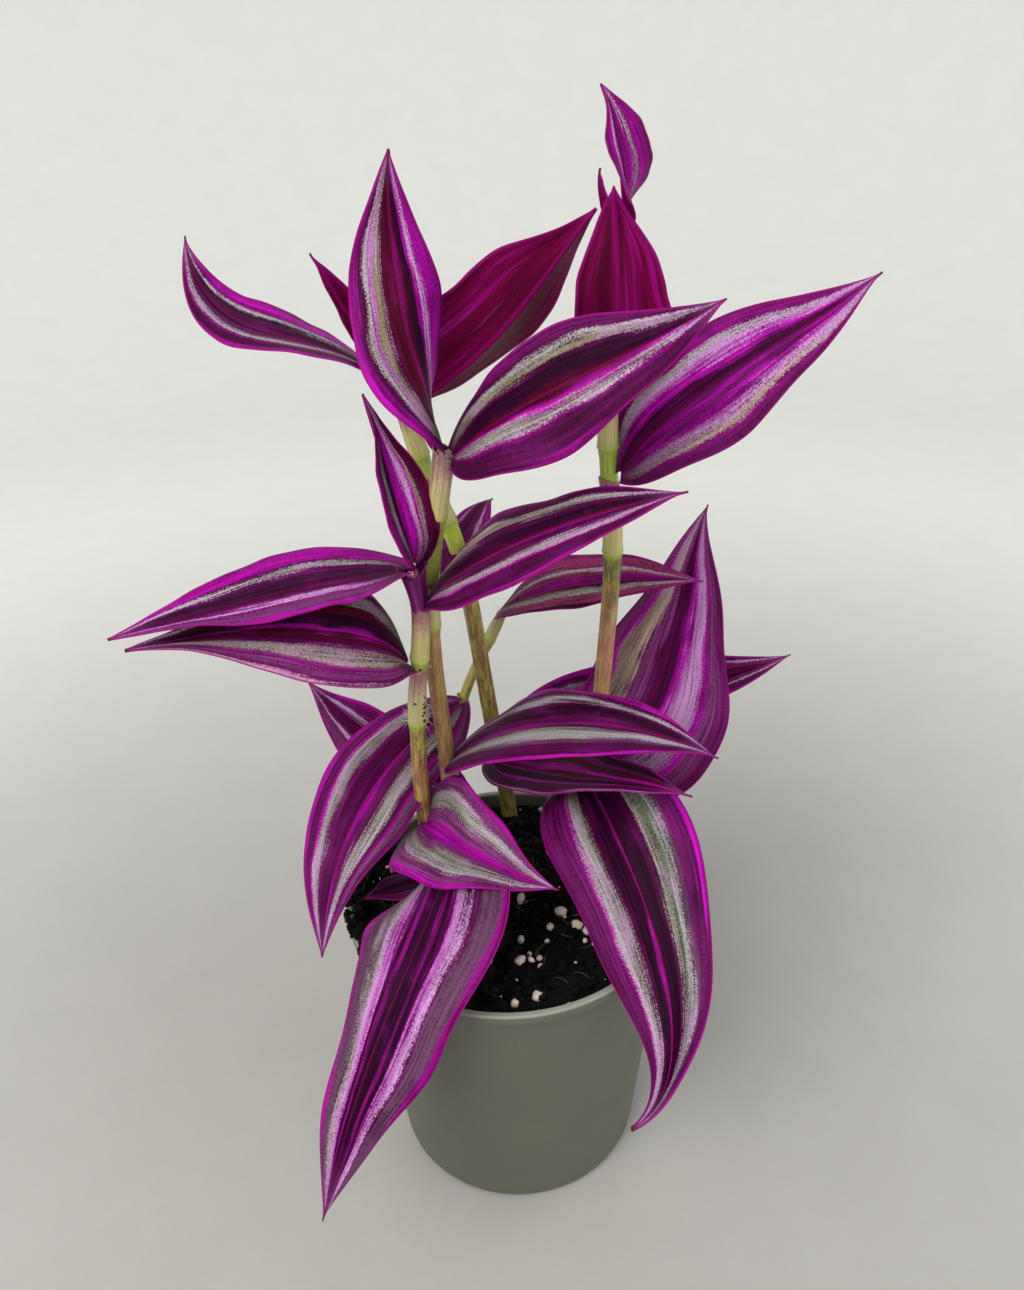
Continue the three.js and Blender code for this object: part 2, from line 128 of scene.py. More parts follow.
# Colours of the bare stem at rising heights, and of the streaks over them.
STEM_TINTS = {
    "a": [(96, "#a09030", "#8c6c38"), (118, "#94783a", "#824634"), (140, "#8e8038", "#8c4c40"),
          (152, "#8c8a34", "#82603c"), (177, "#9cac38", "#a3a04c"), (207, "#7a1a68", "#9a2a86")],
    "b": [(96, "#946a48", "#9c4c46"), (140, "#a85e54", "#8e7440"), (184, "#a06660", "#98883e"),
          (200, "#a0aa44", "#a0aa44"), (217, "#94a43a", "#a4b056"), (237, "#9a8a8c", "#8a4a78")],
    "c": [(96, "#8e9034", "#7c6438"), (150, "#94943a", "#825a3c"), (195, "#98923e", "#8c5c46"),
          (203, "#a4ba36", "#a4b836"), (224, "#94b42c", "#9eb44c"), (243, "#a4a668", "#928a50")],
    "d": [(96, "#969640", "#8c7440"), (140, "#a08c46", "#9a6450"), (170, "#a87a5c", "#aa7060"),
          (198, "#968838", "#566022"), (226, "#9ab430", "#a2ba38"), (286, "#a8a868", "#a07a74")],
    "e": [(96, "#9ca63a", "#94983e"), (138, "#a2ae3c", "#a8a252"), (168, "#ae9860", "#b06e6a")],
}
# Where the first sheath's rim is highest, as an angle round each stem.
SHEATH_FACING = {"a": 0.4, "b": 2.6, "c": 1.2, "d": 0.5, "e": 3.0}
HAIR_RADIUS = 0.09
HAIRS_ON_RIM = 16
RIM_HAIR_LENGTH = (0.8, 2.2)
HAIRS_ON_WOOLLY_NODE = 100
WOOLLY_NODE = ("a", 157)
WOOLLY_REACH = 12
WOOLLY_HAIR_LENGTH = (1.2, 4.0)
FLECK_SIZE = (0.3, 0.55)
# Dark flecks on the first stem, as (height, degrees round it from the right).
FLECKS = [
    (176.5, -80), (164.5, -100), (167, -40), (166, -30), (164.5, -34), (164, -44), (163, -28), (162.5, -38),
    (161, -34), (160, -46), (159.5, -26), (158, -38),
]

# Blades
BLADE_ARCH = 25
BLADE_TAPER = 1.2
BASE_LOBE = 3
LOBE_LENGTH = 0.12
EDGE_RIPPLE = 0.05
EDGE_RIPPLES = 2.2
WAVE_SHARE = 0.017
WAVES = 2.5
CRINKLE = 0.10
CRINKLES = 7
TILT = 0.5
TIP_PINCH = 22
PLEAT = 0.10
PLEATS = 4
GROOVE = 0.25
KEEL = 0.45
RIB_WIDTH = 0.7
MIDDLE_THICKNESS = 0.55
MARGIN_THICKNESS = 0.2
MIDRIB_STEPS = 400
BLADE_ROWS = 97
BLADE_COLUMNS = 45
BLADE_ENDS = (0.004, 0.997)

# Leaf colours. A pale one also has how fully it covers the ground colour under it.
WINE = ("#4a0422", 0)
NIGHT = ("#2a0324", 0)
DUSK = ("#34122e", 0)
PURPLE = ("#4c083e", 0)
PLUM = ("#601254", 0)
MAUVE = ("#723068", 0)
HEATHER = ("#5c3a56", 0)
BLUSH = ("#84345c", 0)
BERRY = ("#7e0a70", 0)
MAGENTA = ("#a20c96", 0)
ORCHID = ("#b04cae", 1.0)
LILAC = ("#c28ec4", 1.0)
ROSE = ("#b07c98", 0.9)
SILVER = ("#9a9894", 1.0)
SAGE = ("#787868", 0.95)
OLIVE = ("#7f7352", 1.0)
GREEN = ("#4e6e3a", 1.0)
BEIGE = ("#a8917e", 1.0)


Leaf = namedtuple(
    "Leaf", "name base heading rise length width roll fold belly left right lean lobes",
    defaults=(None, 0, ()),
)

# base: where the blade leaves its stem. heading and rise: the midrib's direction at the base,
# the middle and the tip. roll: the blade's turn about its midrib at the base and the tip.
# fold: how steeply each half leaves the midrib. belly: where the blade is widest. lean: the
# share by which the left half is wider than the mean. lobes: swellings of the margin, as (1 for
# the left half or -1 for the right, share of the half width, place along the blade). left and
# right: the colours of each half, seen from the base with the upper face up, in order from the
# midrib to the margin, and before each but the first the place where it starts. Where there is
# one row of colours, both halves have it.
LEAVES = [
    Leaf("leaf_a_top_up", (-21, -5, 208.7), (152, 130, 154), (84, 69, 77), 43, 19, (-5, -7), 44, 0.28,
         (BERRY, 0.1, NIGHT, 0.46, SAGE, 0.66, PLUM, 0.82, BERRY),
         (MAGENTA, 0.34, LILAC, 0.46, MAGENTA, 0.55, OLIVE, 0.62, PURPLE, 0.78, WINE, 0.94, BERRY)),
    Leaf("leaf_a_left_upper", (-23, -7, 207), (170, 208, 196), (-7, 0, -8), 73, 26, (4, 25), 21, 0.29,
         (DUSK, 0.12, PURPLE, 0.34, BERRY, 0.44, LILAC, 0.57, BERRY, 0.66, MAUVE, 0.92, MAGENTA),
         (PURPLE, 0.06, DUSK, 0.26, PLUM, 0.4, SILVER, 0.54, PURPLE, 0.6, MAGENTA, 0.96, BERRY)),
    Leaf("leaf_a_left_lower", (-24.9, -1, 177), (236, 195, 209), (52, 12, 5), 76, 31, (41, 16), 22, 0.29,
         (PLUM, 0.18, ROSE, 0.26, SILVER, 0.4, BEIGE, 0.5, MAUVE, 0.6, BERRY, 0.66, MAUVE, 0.84, PLUM,
          0.95, ROSE),
         (WINE, 0.12, MAGENTA, 0.19, NIGHT, 0.42, WINE, 0.58, SAGE, 0.78, PURPLE, 0.94, BERRY),
         lobes=[(1, -0.5, 0.02)]),
    Leaf("leaf_a_mid_right", (-18, -4, 197), (-34, -20, -16), (48, 27, 17), 77, 27, (-21, -41), 11, 0.31,
         (WINE, 0.08, NIGHT, 0.34, PURPLE, 0.5, SAGE, 0.62, SILVER, 0.72, PURPLE, 0.9, BERRY),
         (BERRY, 0.06, PURPLE, 0.27, PLUM, 0.34, SILVER, 0.5, MAGENTA, 0.56, PURPLE, 0.95, BERRY),
         lobes=[(-1, -0.45, 0.04)]),
    Leaf("leaf_a_low_front", (-24, 2, 121), (-63, -45, -24), (19, 2, 1), 54, 33, (-41, -27), 30, 0.23,
         (MAGENTA, 0.15, MAUVE, 0.4, SAGE, 0.54, SILVER, 0.7, MAUVE, 0.88, MAGENTA),
         (MAGENTA, 0.15, MAUVE, 0.29, SAGE, 0.5, SILVER, 0.64, MAUVE, 0.86, MAGENTA),
         lobes=[(-1, 0.14, 0.14)]),
    Leaf("leaf_a_low_left", (-21, 3, 107), (-71, -124, -132), (44, -42, -65), 126, 40, (-55, 54), 7, 0.30,
         (NIGHT, 0.2, BERRY, 0.25, NIGHT, 0.34, BERRY, 0.4, ORCHID, 0.45, LILAC, 0.58, PLUM, 0.66, HEATHER,
          0.94, BERRY),
         (NIGHT, 0.2, BERRY, 0.25, NIGHT, 0.32, BERRY, 0.38, ORCHID, 0.43, LILAC, 0.53, SAGE,
          0.68, HEATHER, 0.92, MAGENTA),
         lean=0.08,
         lobes=[(1, 0.24, 0.32), (1, -0.14, 0.48), (1, 0.1, 0.62), (-1, 0.2, 0.3), (-1, -0.2, 0.64)]),
    # leaf_a_low_under lies in shade under the lower blades, and its dark colours are partly painted shade.
    Leaf("leaf_a_low_under", (-23, 2, 100), (-139, -153, -150), (0, 6, 3), 24, 15, (-2, 5), 14, 0.30,
         (NIGHT, 0.4, PLUM, 0.6, PURPLE)),
    Leaf("leaf_b_top_up", (-12, -1, 238), (198, 117, 124), (83, 73, 115), 66.5, 28, (-13, 8), -4, 0.34,
         (WINE, 0.3, PURPLE, 0.37, OLIVE, 0.56, ORCHID, 0.61, SILVER, 0.69, PURPLE, 0.82, BERRY,
          0.94, MAGENTA),
         (BERRY, 0.05, WINE, 0.12, NIGHT, 0.3, MAGENTA, 0.4, LILAC, 0.55, MAGENTA, 0.86, BERRY)),
    Leaf("leaf_b_top_right", (-9, -2, 235), (-37, -17, 10), (42, 28, 28), 75, 30, (-51, -71), 10, 0.34,
         (WINE, 0.06, NIGHT, 0.32, PURPLE, 0.42, OLIVE, 0.5, SAGE, 0.6, SILVER, 0.68, PURPLE, 0.78, PLUM,
          0.93, BERRY),
         (WINE, 0.05, BERRY, 0.12, MAGENTA, 0.21, SAGE, 0.3, SILVER, 0.4, BERRY, 0.48, PURPLE, 0.93, BERRY)),
    Leaf("leaf_b_back_up", (-17, 6.5, 196), (92, 62, 68), (-30, 28, -14), 47, 22, (12, 6), 8, 0.30,
         (PURPLE, 0.3, PLUM, 0.54, ROSE, 0.64, BERRY),
         lobes=[(1, -0.8, 0.0)]),
    Leaf("leaf_b_low_right", (-16, 8, 138), (-23, -22, -6), (46, 13, -30), 86, 30, (-1, -27), 15, 0.33,
         (BERRY, 0.05, PURPLE, 0.2, NIGHT, 0.45, PURPLE, 0.58, SILVER, 0.72, PURPLE, 0.86, MAGENTA),
         (BERRY, 0.05, PURPLE, 0.14, SAGE, 0.26, SILVER, 0.48, HEATHER, 0.6, PURPLE, 0.94, MAGENTA)),
    Leaf("leaf_c_top_left", (-25, 20, 243), (181, 161, 121), (70, 13, 96), 73, 25, (-21, 35), 15, 0.37,
         (DUSK, 0.24, PLUM, 0.42, SAGE, 0.5, SILVER, 0.6, BERRY, 0.7, PURPLE, 0.93, MAGENTA),
         (PURPLE, 0.16, DUSK, 0.38, SILVER, 0.5, BERRY, 0.64, MAGENTA, 0.9, BERRY)),
    Leaf("leaf_c_top_young", (-23.3, 17.5, 245.4), (190, 221, 214), (66, 61, 59), 41, 13, (-14, -27), 30,
         0.30,
         (BERRY, 0.4, MAGENTA, 0.8, PLUM),
         (WINE, 0.3, BERRY, 0.6, MAGENTA)),
    Leaf("leaf_c_top_right", (-21, 20, 242), (15, -9, -18), (19, 47, 50), 68, 36, (53, 52), 42, 0.37,
         (PURPLE, 0.38, SAGE, 0.5, SILVER, 0.62, PLUM, 0.85, MAGENTA),
         (WINE, 0.4, PURPLE, 0.85, BERRY)),
    Leaf("leaf_c_low_right", (-4, 33, 120), (-38, -48, -40), (8, 22, 9), 81, 28, (-4, -7), 19, 0.31,
         (WINE, 0.06, MAGENTA, 0.2, WINE, 0.46, PLUM, 0.62, NIGHT, 0.9, BERRY),
         (WINE, 0.08, BERRY, 0.18, NIGHT, 0.48, MAGENTA, 0.55, PURPLE, 0.94, ORCHID)),
    Leaf("leaf_c_low_back", (-2, 39, 117), (22, 7, 28), (27, 10, 4), 107, 30, (-32, -36), 18, 0.34,
         (WINE, 0.3, PLUM, 0.5, BERRY, 0.6, SAGE, 0.7, PURPLE, 0.88, MAGENTA),
         (NIGHT, 0.24, BERRY, 0.34, PLUM, 0.5, SAGE, 0.62, PURPLE, 0.9, BERRY)),
    Leaf("leaf_d_top_tip", (33, 8, 287), (213, 145, 177), (85, 77, 64), 27, 16, (2, 26), 28, 0.32,
         (BERRY, 0.12, LILAC, 0.44, MAGENTA, 0.74, PLUM),
         (BERRY, 0.14, MAGENTA, 0.26, SAGE, 0.44, MAGENTA, 0.62, BERRY, 0.88, PLUM),
         lean=-0.25),
    Leaf("leaf_d_top_roll", (29, 11.6, 285.6), (179, 190, 181), (72, 80, 99), 11, 4, (-4, -4), 44, 0.29,
         (LILAC, 0.6, MAGENTA)),
    Leaf("leaf_d_upper_up", (30, 7, 251), (-89, -72, -91), (62, 93, 100), 43, 27, (-6, -1), -3, 0.34,
         (PURPLE, 0.34, SAGE, 0.44, SILVER, 0.54, PLUM, 0.85, MAGENTA)),
    Leaf("leaf_d_mid_right", (33, 10, 225), (-37, -11, -19), (61, 35, 43), 77, 29, (-69, -57), 12, 0.36,
         (PURPLE, 0.22, MAGENTA, 0.38, ORCHID, 0.44, LILAC, 0.56, SILVER, 0.66, BERRY, 0.88, PLUM),
         (PLUM, 0.1, MAGENTA, 0.18, PLUM, 0.28, MAGENTA, 0.4, ORCHID, 0.46, LILAC, 0.62, BEIGE,
          0.72, BERRY, 0.82, PLUM)),
    Leaf("leaf_d_low_up", (30.5, 26.5, 124), (8, 40, 17), (30, 71, 70), 89, 44, (-45, -47), 14, 0.25,
         (PURPLE, 0.12, MAUVE, 0.36, BEIGE, 0.52, OLIVE, 0.68, MAGENTA, 0.76, MAUVE, 0.93, BERRY),
         (PURPLE, 0.16, MAGENTA, 0.28, ORCHID, 0.38, LILAC, 0.58, MAGENTA, 0.66, MAUVE, 0.84, PLUM),
         lobes=[(-1, 0.3, 0.1), (-1, 0.1, 0.3)]),
    Leaf("leaf_d_low_front", (28, 22, 116), (-106, -71, -148), (54, -39, 18), 123, 41, (-14, -29), 17, 0.30,
         (WINE, 0.03, NIGHT, 0.27, PURPLE, 0.38, SAGE, 0.49, GREEN, 0.56, SILVER, 0.65, HEATHER,
          0.74, PLUM, 0.95, MAGENTA),
         (MAGENTA, 0.05, NIGHT, 0.24, PURPLE, 0.34, SAGE, 0.47, SILVER, 0.58, MAGENTA, 0.63, PLUM,
          0.96, BERRY),
         lobes=[(-1, -0.12, 0.12)]),
    Leaf("leaf_e_top_right", (1, 46, 168), (-36, -12, -27), (44, 11, 4), 66, 23, (-6, -48), 21, 0.32,
         (BERRY, 0.12, BLUSH, 0.32, SILVER, 0.42, BERRY, 0.5, BLUSH, 0.93, BERRY),
         (BERRY, 0.14, WINE, 0.3, SAGE, 0.42, SILVER, 0.58, BLUSH, 0.9, WINE)),
    Leaf("leaf_e_left_front", (-14, 37, 140), (-140, -121, -95), (-9, -27, -58), 92, 34, (11, 8), 13, 0.35,
         (MAGENTA, 0.08, PLUM, 0.29, SAGE, 0.42, SILVER, 0.57, PURPLE, 0.68, BERRY, 0.78, HEATHER,
          0.88, PLUM, 0.96, BERRY),
         (PURPLE, 0.3, PLUM, 0.42, SAGE, 0.52, SILVER, 0.64, MAGENTA, 0.72, PLUM, 0.95, MAGENTA)),
    Leaf("leaf_e_low_left", (-16, 37, 109), (187, 163, 170), (16, 36, 58), 62, 26, (26, 33), 18, 0.37,
         (PURPLE, 0.2, MAUVE, 0.34, LILAC, 0.44, MAUVE, 0.9, BERRY),
         (PURPLE, 0.26, MAUVE, 0.38, SILVER, 0.48, PLUM, 0.82, MAGENTA)),
]


# ---------------------------------------------------------------- small helpers

def colour(text):
    """A colour such as #74766b as linear red, green, blue and alpha."""
    parts = [int(text[i:i + 2], 16) / 255 for i in (1, 3, 5)]
    return [part / 12.92 if part <= 0.04045 else ((part + 0.055) / 1.055) ** 2.4 for part in parts] + [1]


def around(sides):
    """Angles at even steps round a full turn."""
    return np.linspace(0, 2 * math.pi, sides, endpoint=False)


def unit(vectors):
    return vectors / np.maximum(np.linalg.norm(vectors, axis=-1, keepdims=True), 1e-9)


def through(values, t):
    """A value that passes through three given ones at 0, 1/2 and 1."""
    start, middle, end = values
    return start * (1 - t) * (1 - 2 * t) + middle * 4 * t * (1 - t) + end * t * (2 * t - 1)


def grid_faces(rows, columns, start=0, closed=False, flipped=False):
    """Quads of a grid of points that is kept row by row."""
    last = columns if closed else columns - 1
    row, column = np.meshgrid(np.arange(rows - 1), np.arange(last), indexing="ij")
    after = (column + 1) % columns
    quads = np.stack([
        row * columns + column, row * columns + after,
        (row + 1) * columns + after, (row + 1) * columns + column,
    ], axis=-1).reshape(-1, 4) + start
    return quads[:, ::-1] if flipped else quads


def add_object(name, points, faces, materials):
    """A smooth object in the scene, from points in millimetres."""
    mesh = bpy.data.meshes.new(name)
    mesh.from_pydata(points * MM, [], faces)
    for material in materials:
        mesh.materials.append(material)
    mesh.polygons.foreach_set("use_smooth", [True] * len(faces))
    added = bpy.data.objects.new(name, mesh)
    bpy.context.scene.collection.objects.link(added)
    return added


class Shape:
    """Points, faces and point values gathered for one mesh."""

    def __init__(self):
        self.points = []
        self.faces = []
        self.slots = []
        self.values = {}
        self.count = 0

    def add(self, points, faces, slot=0, **values):
        """Adds points in millimetres, with faces that count from the first of them."""
        points = np.asarray(points, float).reshape(-1, 3)
        self.points.append(points)
        self.faces += (np.asarray(faces) + self.count).tolist()
        self.slots += [slot] * len(faces)
        self.count += len(points)
        for key, value in values.items():
            self.values.setdefault(key, []).append(value)

    def piece(self, name, materials, slot, node=None):
        """A piece of the part, which takes the place of a node if one is given."""
        piece = add_object(name, np.concatenate(self.points), self.faces, materials)
        piece.data.polygons.foreach_set("material_index", self.slots)
        for key, value in self.values.items():
            attribute = piece.data.attributes.new(key, "FLOAT_VECTOR", "POINT")
            attribute.data.foreach_set("vector", np.concatenate(value).astype(np.float32).ravel())
        piece.data.validate()
        piece.data.update()
        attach(piece, "root")
        if node:
            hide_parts(node)


# ---------------------------------------------------------------- node trees

class Value:
    """A socket of a material's node tree, with arithmetic that adds Math nodes."""

    def __init__(self, paint, socket):
        self.paint = paint
        self.socket = socket

    def math(self, operation, *others):
        return self.paint.math(operation, self, *others)

    def __add__(self, other):
        return self.math("ADD", other)

    def __sub__(self, other):
        return self.math("SUBTRACT", other)

    def __mul__(self, other):
        return self.math("MULTIPLY", other)

    def __truediv__(self, other):
        return self.math("DIVIDE", other)

    def above(self, low, high):
        """0 below low and 1 above high, with a smooth rise between them."""
        return self.paint.rise(self, low, high)


class Paint:
    """A material with a Principled shader, and short calls that add nodes to it.

    A colour may be given as text, such as #74766b, and a place as a tuple of three values.
    """

    def __init__(self, name):
        self.material = bpy.data.materials.new(name)
        self.material.use_nodes = True
        self.tree = self.material.node_tree

    def finish(self, **inputs):
        """Joins values to the shader's sockets, whose spaces are written as underscores."""
        shader = self.tree.nodes["Principled BSDF"]
        for key, value in inputs.items():
            self.feed(shader.inputs[key.replace("_", " ")], value)
        return self.material

    def add(self, kind, **settings):
        node = self.tree.nodes.new(kind)
        for key, value in settings.items():
            setattr(node, key, value)
        return node

    def feed(self, socket, value):
        if isinstance(value, tuple):
            value = self.join(*value)
        if isinstance(value, Value):
            self.tree.links.new(value.socket, socket)
        else:
            socket.default_value = colour(value) if isinstance(value, str) else value

    def feed_all(self, sockets, values):
        for socket, value in zip(sockets, values):
            self.feed(socket, value)

    def math(self, operation, *values):
        node = self.add("ShaderNodeMath", operation=operation)
        self.feed_all(node.inputs, values)
        return Value(self, node.outputs[0])

    def rise(self, value, low, high):
        node = self.add("ShaderNodeMapRange", interpolation_type="SMOOTHSTEP")
        self.feed_all(node.inputs, (value, low, high))
        return Value(self, node.outputs["Result"])

    def mix(self, factor, first, second, blend="MIX"):
        node = self.add("ShaderNodeMix", data_type="RGBA", blend_type=blend)
        self.feed_all((node.inputs[0], node.inputs[6], node.inputs[7]), (factor, first, second))
        return Value(self, node.outputs[2])

    def coats(self, body, *coats):
        """The body's colour with each coat, a cover and a colour, laid over it in turn."""
        for cover, tone in coats:
            body = self.mix(cover, body, tone)
        return body

    def attribute(self, name):
        return Value(self, self.add("ShaderNodeAttribute", attribute_name=name).outputs["Vector"])

    def places(self):
        """The surface's own coordinates in metres."""
        return Value(self, self.add("ShaderNodeTexCoord").outputs["Object"])

    def split(self, vector):
        node = self.add("ShaderNodeSeparateXYZ")
        self.feed(node.inputs[0], vector)
        return [Value(self, output) for output in node.outputs]

    def join(self, *values):
        node = self.add("ShaderNodeCombineXYZ")
        self.feed_all(node.inputs, values)
        return Value(self, node.outputs[0])

    def noise(self, vector, scale=1.0, detail=2.0, roughness=0.5):
        node = self.add("ShaderNodeTexNoise")
        inputs = (node.inputs[key] for key in ("Vector", "Scale", "Detail", "Roughness"))
        self.feed_all(inputs, (vector, scale, detail, roughness))
        return Value(self, node.outputs["Fac"])

    def cells(self, vector, scale):
        node = self.add("ShaderNodeTexVoronoi")
        self.feed_all((node.inputs["Vector"], node.inputs["Scale"]), (vector, scale))
        return Value(self, node.outputs["Distance"])

    def ramp(self, factor, stops):
        """Colour, and a second value in the alpha, at stops of place and colour."""
        node = self.add("ShaderNodeValToRGB")
        elements = node.color_ramp.elements
        while len(elements) < len(stops):
            elements.new(0.5)
        for element, (place, tone) in zip(elements, stops):
            element.position = place
            element.color = colour(tone) if isinstance(tone, str) else tone
        self.feed(node.inputs[0], factor)
        return Value(self, node.outputs["Color"]), Value(self, node.outputs["Alpha"])

    def bump(self, height, distance, strength=1.0, normal=None):
        node = self.add("ShaderNodeBump")
        inputs = (node.inputs[key] for key in ("Height", "Distance", "Strength"))
        self.feed_all(inputs, (height, distance * MM, strength))
        if normal:
            self.feed(node.inputs["Normal"], normal)
        return Value(self, node.outputs[0])


# ---------------------------------------------------------------- camera and stage

def make_camera():
    pitch, roll = math.radians(PITCH), math.radians(ROLL)
    forward = np.array([0, math.cos(pitch), -math.sin(pitch)])
    level = np.array([1.0, 0, 0])
    upright = np.cross(level, forward)
    right = level * math.cos(roll) + upright * math.sin(roll)
    up = upright * math.cos(roll) - level * math.sin(roll)
    data = bpy.data.cameras.new("camera")
    data.sensor_width = SENSOR
    data.lens = FOCAL_PIXELS * SENSOR / max(PICTURE)
    data.clip_start = 0.01
    camera = bpy.data.objects.new("camera", data)
    bpy.context.scene.collection.objects.link(camera)
    turn = Matrix([right, up, -forward]).transposed().to_4x4()
    camera.matrix_world = Matrix.Translation(Vector(EYE) * MM) @ turn
    bpy.context.scene.camera = camera


def area_light(name, place, size, power, tint):
    """A round lamp that points at the plant. Its place and size are in metres."""
    data = bpy.data.lights.new(name, "AREA")
    data.shape = "DISK"
    data.size = size
    data.energy = power
    data.color = tint
    light = bpy.data.objects.new(name, data)
    bpy.context.scene.collection.objects.link(light)
    light.location = place
    light.rotation_mode = "QUATERNION"
    light.rotation_quaternion = (Vector(LAMP_TARGET) - Vector(place)).to_track_quat("-Z", "Y")


def make_light():
    world = bpy.data.worlds.new("studio")
    world.use_nodes = True
    background = world.node_tree.nodes["Background"]
    background.inputs["Color"].default_value = SKY_COLOUR
    background.inputs["Strength"].default_value = SKY_STRENGTH
    bpy.context.scene.world = world
    bpy.context.scene.view_settings.view_transform = "Standard"
    area_light("key", (-0.55, -0.75, 1.15), 0.9, 16, (1.0, 0.98, 0.95))
    area_light("fill", (0.9, -0.5, 0.7), 0.8, 3.5, (0.95, 0.97, 1.0))


def make_floor():
    """A pale round floor that sweeps up into a wall all round."""
    reach, bend, top = 1500, 600, 1900
    section = [(0.01, 0), (300, 0), (600, 0), *arc((reach - bend, bend), bend, -90, 0, 24), (reach, top)]
    points, faces = lathe(section, 96)
    paint = Paint("pale_floor")
    place = paint.places()
    x, y, _ = paint.split(place)
    grain = paint.noise(place, 30, 6, 0.6)
    far = (x * x + y * y).math("SQRT").above(0.1, 0.7)
    tone = paint.mix(far, paint.mix(grain, "#a09d99", "#aaa7a3"), paint.mix(grain, "#dcdcd8", "#e4e4e0"))
    bumps = paint.bump(paint.noise(place, 400, 3), 0.3, 0.3)
    material = paint.finish(Base_Color=tone, Roughness=0.8, Normal=bumps)
    add_object("floor", points.reshape(-1, 3), faces[:, ::-1].tolist(), [material])


# ---------------------------------------------------------------- pot

def outer_radius(height):
    return FOOT_RADIUS + (RIM_RADIUS - LIP_DEPTH - FOOT_RADIUS) * height / POT_HEIGHT


def inner_radius(height):
    return outer_radius(height) - WALL


def arc(centre, radius, start, end, steps):
    """Points of an arc as (distance from the axis, height), with angles in degrees."""
    angles = np.radians(np.linspace(start, end, steps))
    return [(centre[0] + radius * math.cos(a), centre[1] + radius * math.sin(a)) for a in angles]


def pot_profile():
    """The pot's section, from the middle of its foot round the wall to the middle of its floor."""
    lip_foot = POT_HEIGHT - LIP_HEIGHT
    bead, lip_corner, inner_corner = 0.55, 0.4, 2.5
    wall = [(outer_radius(h), h) for h in np.linspace(FOOT_ROUNDING + 4, lip_foot - 1.2, 14)]
    inside = [(inner_radius(h), h) for h in np.linspace(POT_HEIGHT - 2, FLOOR + inner_corner + 3, 12)]
    return [
        (0.01, HOLLOW_DEPTH), (HOLLOW_RADIUS, HOLLOW_DEPTH), (HOLLOW_RADIUS + 1, 0),
        *arc((outer_radius(FOOT_ROUNDING) - FOOT_ROUNDING, FOOT_ROUNDING), FOOT_ROUNDING, -90, 5, 9),
        *wall,
        (RIM_RADIUS - LIP_DEPTH - 0.05, lip_foot - 0.5),
        *arc((RIM_RADIUS - lip_corner, lip_foot + lip_corner), lip_corner, -80, 0, 5),
        *arc((RIM_RADIUS - bead, POT_HEIGHT - bead), bead, 0, 90, 7),
        *arc((inner_radius(POT_HEIGHT) + bead, POT_HEIGHT - bead), bead, 90, 175, 6),
        *inside,
        *arc((inner_radius(FLOOR) - inner_corner, FLOOR + inner_corner), inner_corner, 0, -90, 6),
        (0.01, FLOOR),
    ]


def lathe(profile, sides):
    """Points and quads of a section turned about the vertical axis."""
    section = np.array(profile)
    angles = around(sides)
    points = np.stack([
        np.outer(section[:, 0], np.cos(angles)), np.outer(section[:, 0], np.sin(angles)),
        np.repeat(section[:, 1:], sides, axis=1),
    ], axis=-1)
    return points, grid_faces(len(section), sides, closed=True)


def pot_plastic():
    """Grey-green plastic, with a painted highlight that makes the rim paler, dust at the foot and faint
    scuffs.
    """
    paint = Paint("pot_plastic")
    place = paint.places()
    x, y, z = paint.split(place)
    clouds = paint.noise(place, 22, 4, 0.55)
    flow = paint.noise((x * 40, y * 40, z * 500), 1.0, 3)
    # The pale band along the top of the rim is a painted highlight.
    rim = z.above((POT_HEIGHT - 1.1) * MM, (POT_HEIGHT - 0.2) * MM)
    dust = paint.noise(place, 160, 5, 0.7).above(0.56, 0.74) * z.above(14 * MM, 0)
    scuffs = paint.noise((x * 900, y * 900, z * 90), 1.0, 4, 0.6).above(0.62, 0.75)
    body = paint.coats(
        paint.mix(clouds, "#505248", "#5c5e52"),
        (flow * 0.2, "#5f6155"), (rim * 0.6, "#9c9e92"), (dust * 0.35, "#8f8878"), (scuffs * 0.12, "#85887c"),
    )
    gloss = paint.noise(place, 60, 5, 0.6) * 0.22 + 0.36
    grain = paint.bump(paint.noise(place, 2600, 2), 0.03, 0.5)
    return paint.finish(Base_Color=body, Roughness=gloss, Normal=grain)


def make_pot():
    shape = Shape()
    shape.add(*lathe(pot_profile(), POT_SIDES))
    shape.piece("pot_wall", [pot_plastic()], "pot_plastic", "pot")


# ---------------------------------------------------------------- soil

def soil_height(x, y):
    """The soil's level, mounded a little towards the middle."""
    inward = 1 - (x * x + y * y) / inner_radius(SOIL_LEVEL) ** 2
    crumbs = np.sin(0.5 * x + 0.2 * y) + np.sin(0.3 * x - 0.4 * y + 2) + np.sin(0.6 * y - 0.2 * x)
    return SOIL_LEVEL + SOIL_MOUND * inward + CRUMB_RELIEF * crumbs * np.minimum(1, 4 * inward)


def lumps(x, y, random_phases, size):
    """Uneven relief from 0 to about 1, with lumps of about the given size."""
    total = np.zeros_like(x)
    for turn, phase in random_phases:
        total += np.sin((x * math.cos(turn) + y * math.sin(turn)) * 2 * math.pi / size + phase)
    return total / len(random_phases)


